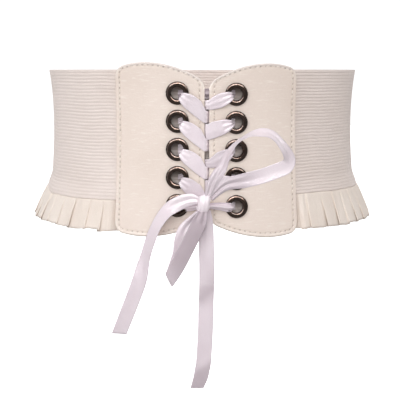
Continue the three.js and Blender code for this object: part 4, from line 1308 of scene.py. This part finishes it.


# The bow's stretches: x, z and front place the ribbon's middle (front is the distance ahead of
# the axis), lean is the angle of its width line seen from the front, from +X towards +Z, tilt
# turns that line out of the front view, spread is the share of the full width, and the last column
# is painted shade: how far the satin has turned from the light.
BOW = {
    "bow_loop_right": [
        (0, -51.3, 104.4, -27, 0, 0.42, 0.43), (4.4, -38.6, 105.6, -32, 15, 0.72, 0.45),
        (11.6, -26.8, 106.2, -40, 48, 0.92, 0.45), (16.2, -17.4, 106.2, -46, 70, 1, 0.4),
        (22.9, -8.4, 106, -50, 86, 1, 0.2), (32.4, -2.4, 104.6, -66, 84, 1, 0.05),
        (41, -0.2, 103, -82, 66, 1, 0), (48.1, -0.6, 101, -100, 62, 1, 0),
        (54.6, -3.6, 98.8, -120, 58, 0.95, 0), (60, -9.3, 96, -136, 50, 0.9, 0),
        (64.1, -15.8, 93, -152, 46, 0.96, 0.22), (66, -22, 90.8, -190, 36, 1, 0.1),
        (63.4, -27.6, 90.4, -240, 12, 1, 0), (54.6, -31.2, 92.6, -250, 0, 1, 0),
        (42.4, -35, 96.4, -254, 0, 1, 0.1), (28, -38.2, 100.2, -258, 0, 0.97, 0.55),
        (14.2, -41.4, 102.2, -250, 0, 0.76, 0.57), (2.6, -51.6, 102, -232, 0, 0.45, 0.57),
    ],
    "bow_loop_lower": [
        (-3.2, -60.9, 104, -24, 0, 0.5, 0.9), (-6, -69.5, 106.5, -26, 0, 0.96, 1),
        (-11.4, -80.5, 108, -28, 0, 1, 1), (-17.2, -92, 108.5, -30, 0, 1, 0.9),
        (-23, -103.5, 107.5, -36, 0, 1, 0.82), (-28.4, -113.2, 105.5, -56, 0, 1, 0.6),
        (-30.8, -117, 103, -64, 0, 1, 0.45), (-28.6, -113.6, 100.6, -58, 0, 1, 0.35),
        (-24.6, -105.5, 99.8, -30, 0, 1, 0), (-21.4, -95.5, 99.8, -6, 0, 1, 0),
        (-20.2, -85.5, 100.2, -4, 0, 1, 0), (-17.4, -76.6, 101, -28, 0, 0.92, 0),
        (-12, -69.4, 102, -40, 0, 0.67, 0.35), (-5.2, -61.6, 103, -45, 0, 0.34, 0.4),
    ],
    "bow_tail_left": [
        (-6.3, -53.4, 103.4, 90, 0, 0.38, 0.07), (-12, -52.4, 103.4, 97, 0, 0.76, 0),
        (-20.5, -54.6, 102.6, 112, 0, 0.92, 0.03), (-31, -61, 101.2, 128, -35, 1, 0.22),
        (-39, -71.5, 100, 146, -48, 1, 0.22), (-44.5, -84, 99, 156, -50, 1, 0.3),
        (-49.4, -100, 98.4, 158, -48, 1, 0.32), (-54.4, -119, 98, 160, -12, 1, 0.3),
        (-62, -139.5, 97.4, 164, 0, 1, 0.22), (-70.4, -161, 96.6, 176, 0, 1, 0.3),
    ],
    "bow_tail_centre": [
        (-0.2, -61.1, 102.2, 0, 0, 0.46, 0.75), (-0.9, -71, 102.2, 0, 0, 0.92, 0.43),
        (-0.6, -88, 102, 0, 0, 1, 0.2), (-0.3, -106, 101.8, 0, 4, 1, 0.28),
        (-0.3, -116, 102, 0, 7, 1, 0.43), (-0.4, -122, 102.3, 0, 8, 1, 0.57),
        (-0.6, -128.4, 101.6, 0, 8, 1, 0.64), (-0.8, -135, 100.9, 0, 8, 1, 0.43),
        (-1, -142, 101.2, 0, 6, 1, 0.28), (-1.3, -155, 101.8, -2, 5, 1, 0.3),
        (-2, -170, 102.2, -4, 5, 1, 0.32), (-2.9, -183.5, 101.9, -6, 6, 1, 0.28),
        (-3.9, -190, 100.6, -6, 12, 1, 0.6), (-5.3, -197.5, 98, -4, 20, 1, 0.68),
        (-7.9, -206.5, 93.5, 8, 30, 1, 0.68),
    ],
}


# The bow's folds: their greatest depth, and the arch across the ribbon. The right loop's folds are
# deeper and its lower edge bends back, and the centre tail's painted shade runs aslant.
BOW_FOLDS = {"depth": 0.5, "arch": 0.35, "loop_depth": 0.9, "loop_lip": 1.1, "slant": 6}


def make_bow_stretch(node):
    """A loop or tail of the bow, from the knot on."""
    x, z, front, lean, tilt, spread, dull = spline(BOW[node], 8).T
    lean, tilt = np.radians(lean), np.radians(tilt)
    centre = np.stack([x, -front, z], -1)
    half = np.stack([np.cos(lean) * np.cos(tilt), -np.sin(tilt), np.sin(lean) * np.cos(tilt)], -1)
    half *= (spread * RIBBON["width"] / 2)[:, None]
    standing = node == "bow_loop_right"
    lip = BOW_FOLDS["loop_lip"] * smooth(0.9, 1, spread) if standing else 0
    depth = BOW_FOLDS["loop_depth" if standing else "depth"]
    middle = folded_ribbon(
        centre, half, folds=2, phase=rng.uniform(-0.6, 0.6), arch=BOW_FOLDS["arch"], limit=depth,
        lip=lip,
    )
    along = run_length(centre)
    slant = BOW_FOLDS["slant"] if node == "bow_tail_centre" else 0
    across = np.linspace(-1, 1, middle.shape[1])[None]
    # The painted shade along the stretch, from the table's last column.
    dull = np.interp(along[:, None] + slant * across, along, dull)
    piece = make_ribbon(node, middle, np.clip(dull, 0, 1))
    # The thin satin of the standing loop lets the light through to the panel behind it.
    piece.visible_shadow = piece.visible_diffuse = not standing


KNOT = {
    "x": -2.8, "z": -55.9, "front": 103.2, "half_width": 4.9, "half_depth": 3.9, "half_height": 7.2,
    "lean": 0.16, "thin": 0.5, "widen": 0.1, "crease": 0.04, "creases": 2.7, "wander": 0.8,
    "start": 0.5, "rows": 37, "around": 72,
}


def make_knot():
    """A turn of ribbon drawn tight round the strands: a barrel whose axis runs level across the
    front. It thins to its ends as 1 - thin w^4, widens at the top and bottom, and is creased round."""
    rows, around = KNOT["rows"], KNOT["around"]
    w = np.linspace(-1, 1, rows)[:, None]
    turn = (np.arange(around) * 2 * np.pi / around)[None, :]
    wave = KNOT["creases"] * np.pi * w + KNOT["wander"] * np.sin(turn) + KNOT["start"]
    radius = 1 - KNOT["thin"] * w ** 4 + KNOT["crease"] * np.cos(wave) * (1 - w ** 4)
    rise = KNOT["half_height"] * radius * np.cos(turn)
    points = np.stack([
        KNOT["x"] + KNOT["half_width"] * w * (1 + KNOT["widen"] * np.cos(2 * turn)) + KNOT["lean"] * rise,
        -KNOT["front"] + KNOT["half_depth"] * radius * np.sin(turn),
        KNOT["z"] + rise,
    ], -1).reshape(-1, 3)
    body = grid_faces(rows, around, round_columns=True)
    cap = np.arange(around)[None, :]
    coords = np.stack(np.broadcast_arrays(4 * turn, 6 * w), -1).reshape(-1, 2)
    plain = np.zeros(rows * around)
    knot = make_piece(
        "bow_knot_satin", points, [body, cap, cap[:, ::-1] + (rows - 1) * around], SATIN,
        "satin_ribbon", coords, {"selvedge": plain, "dull": plain},
    )
    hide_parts("bow_knot")


make_panel("left")
make_panel("right")
make_band()
make_insert()
make_ruffle()
for side in SIDES:
    for row in ROWS:
        make_eyelet(side, row)
        if row < EYELET["rows"]:
            make_crossing(side, row)
    make_to_knot(side)
make_top_bar()
make_knot()
for node in BOW:
    make_bow_stretch(node)
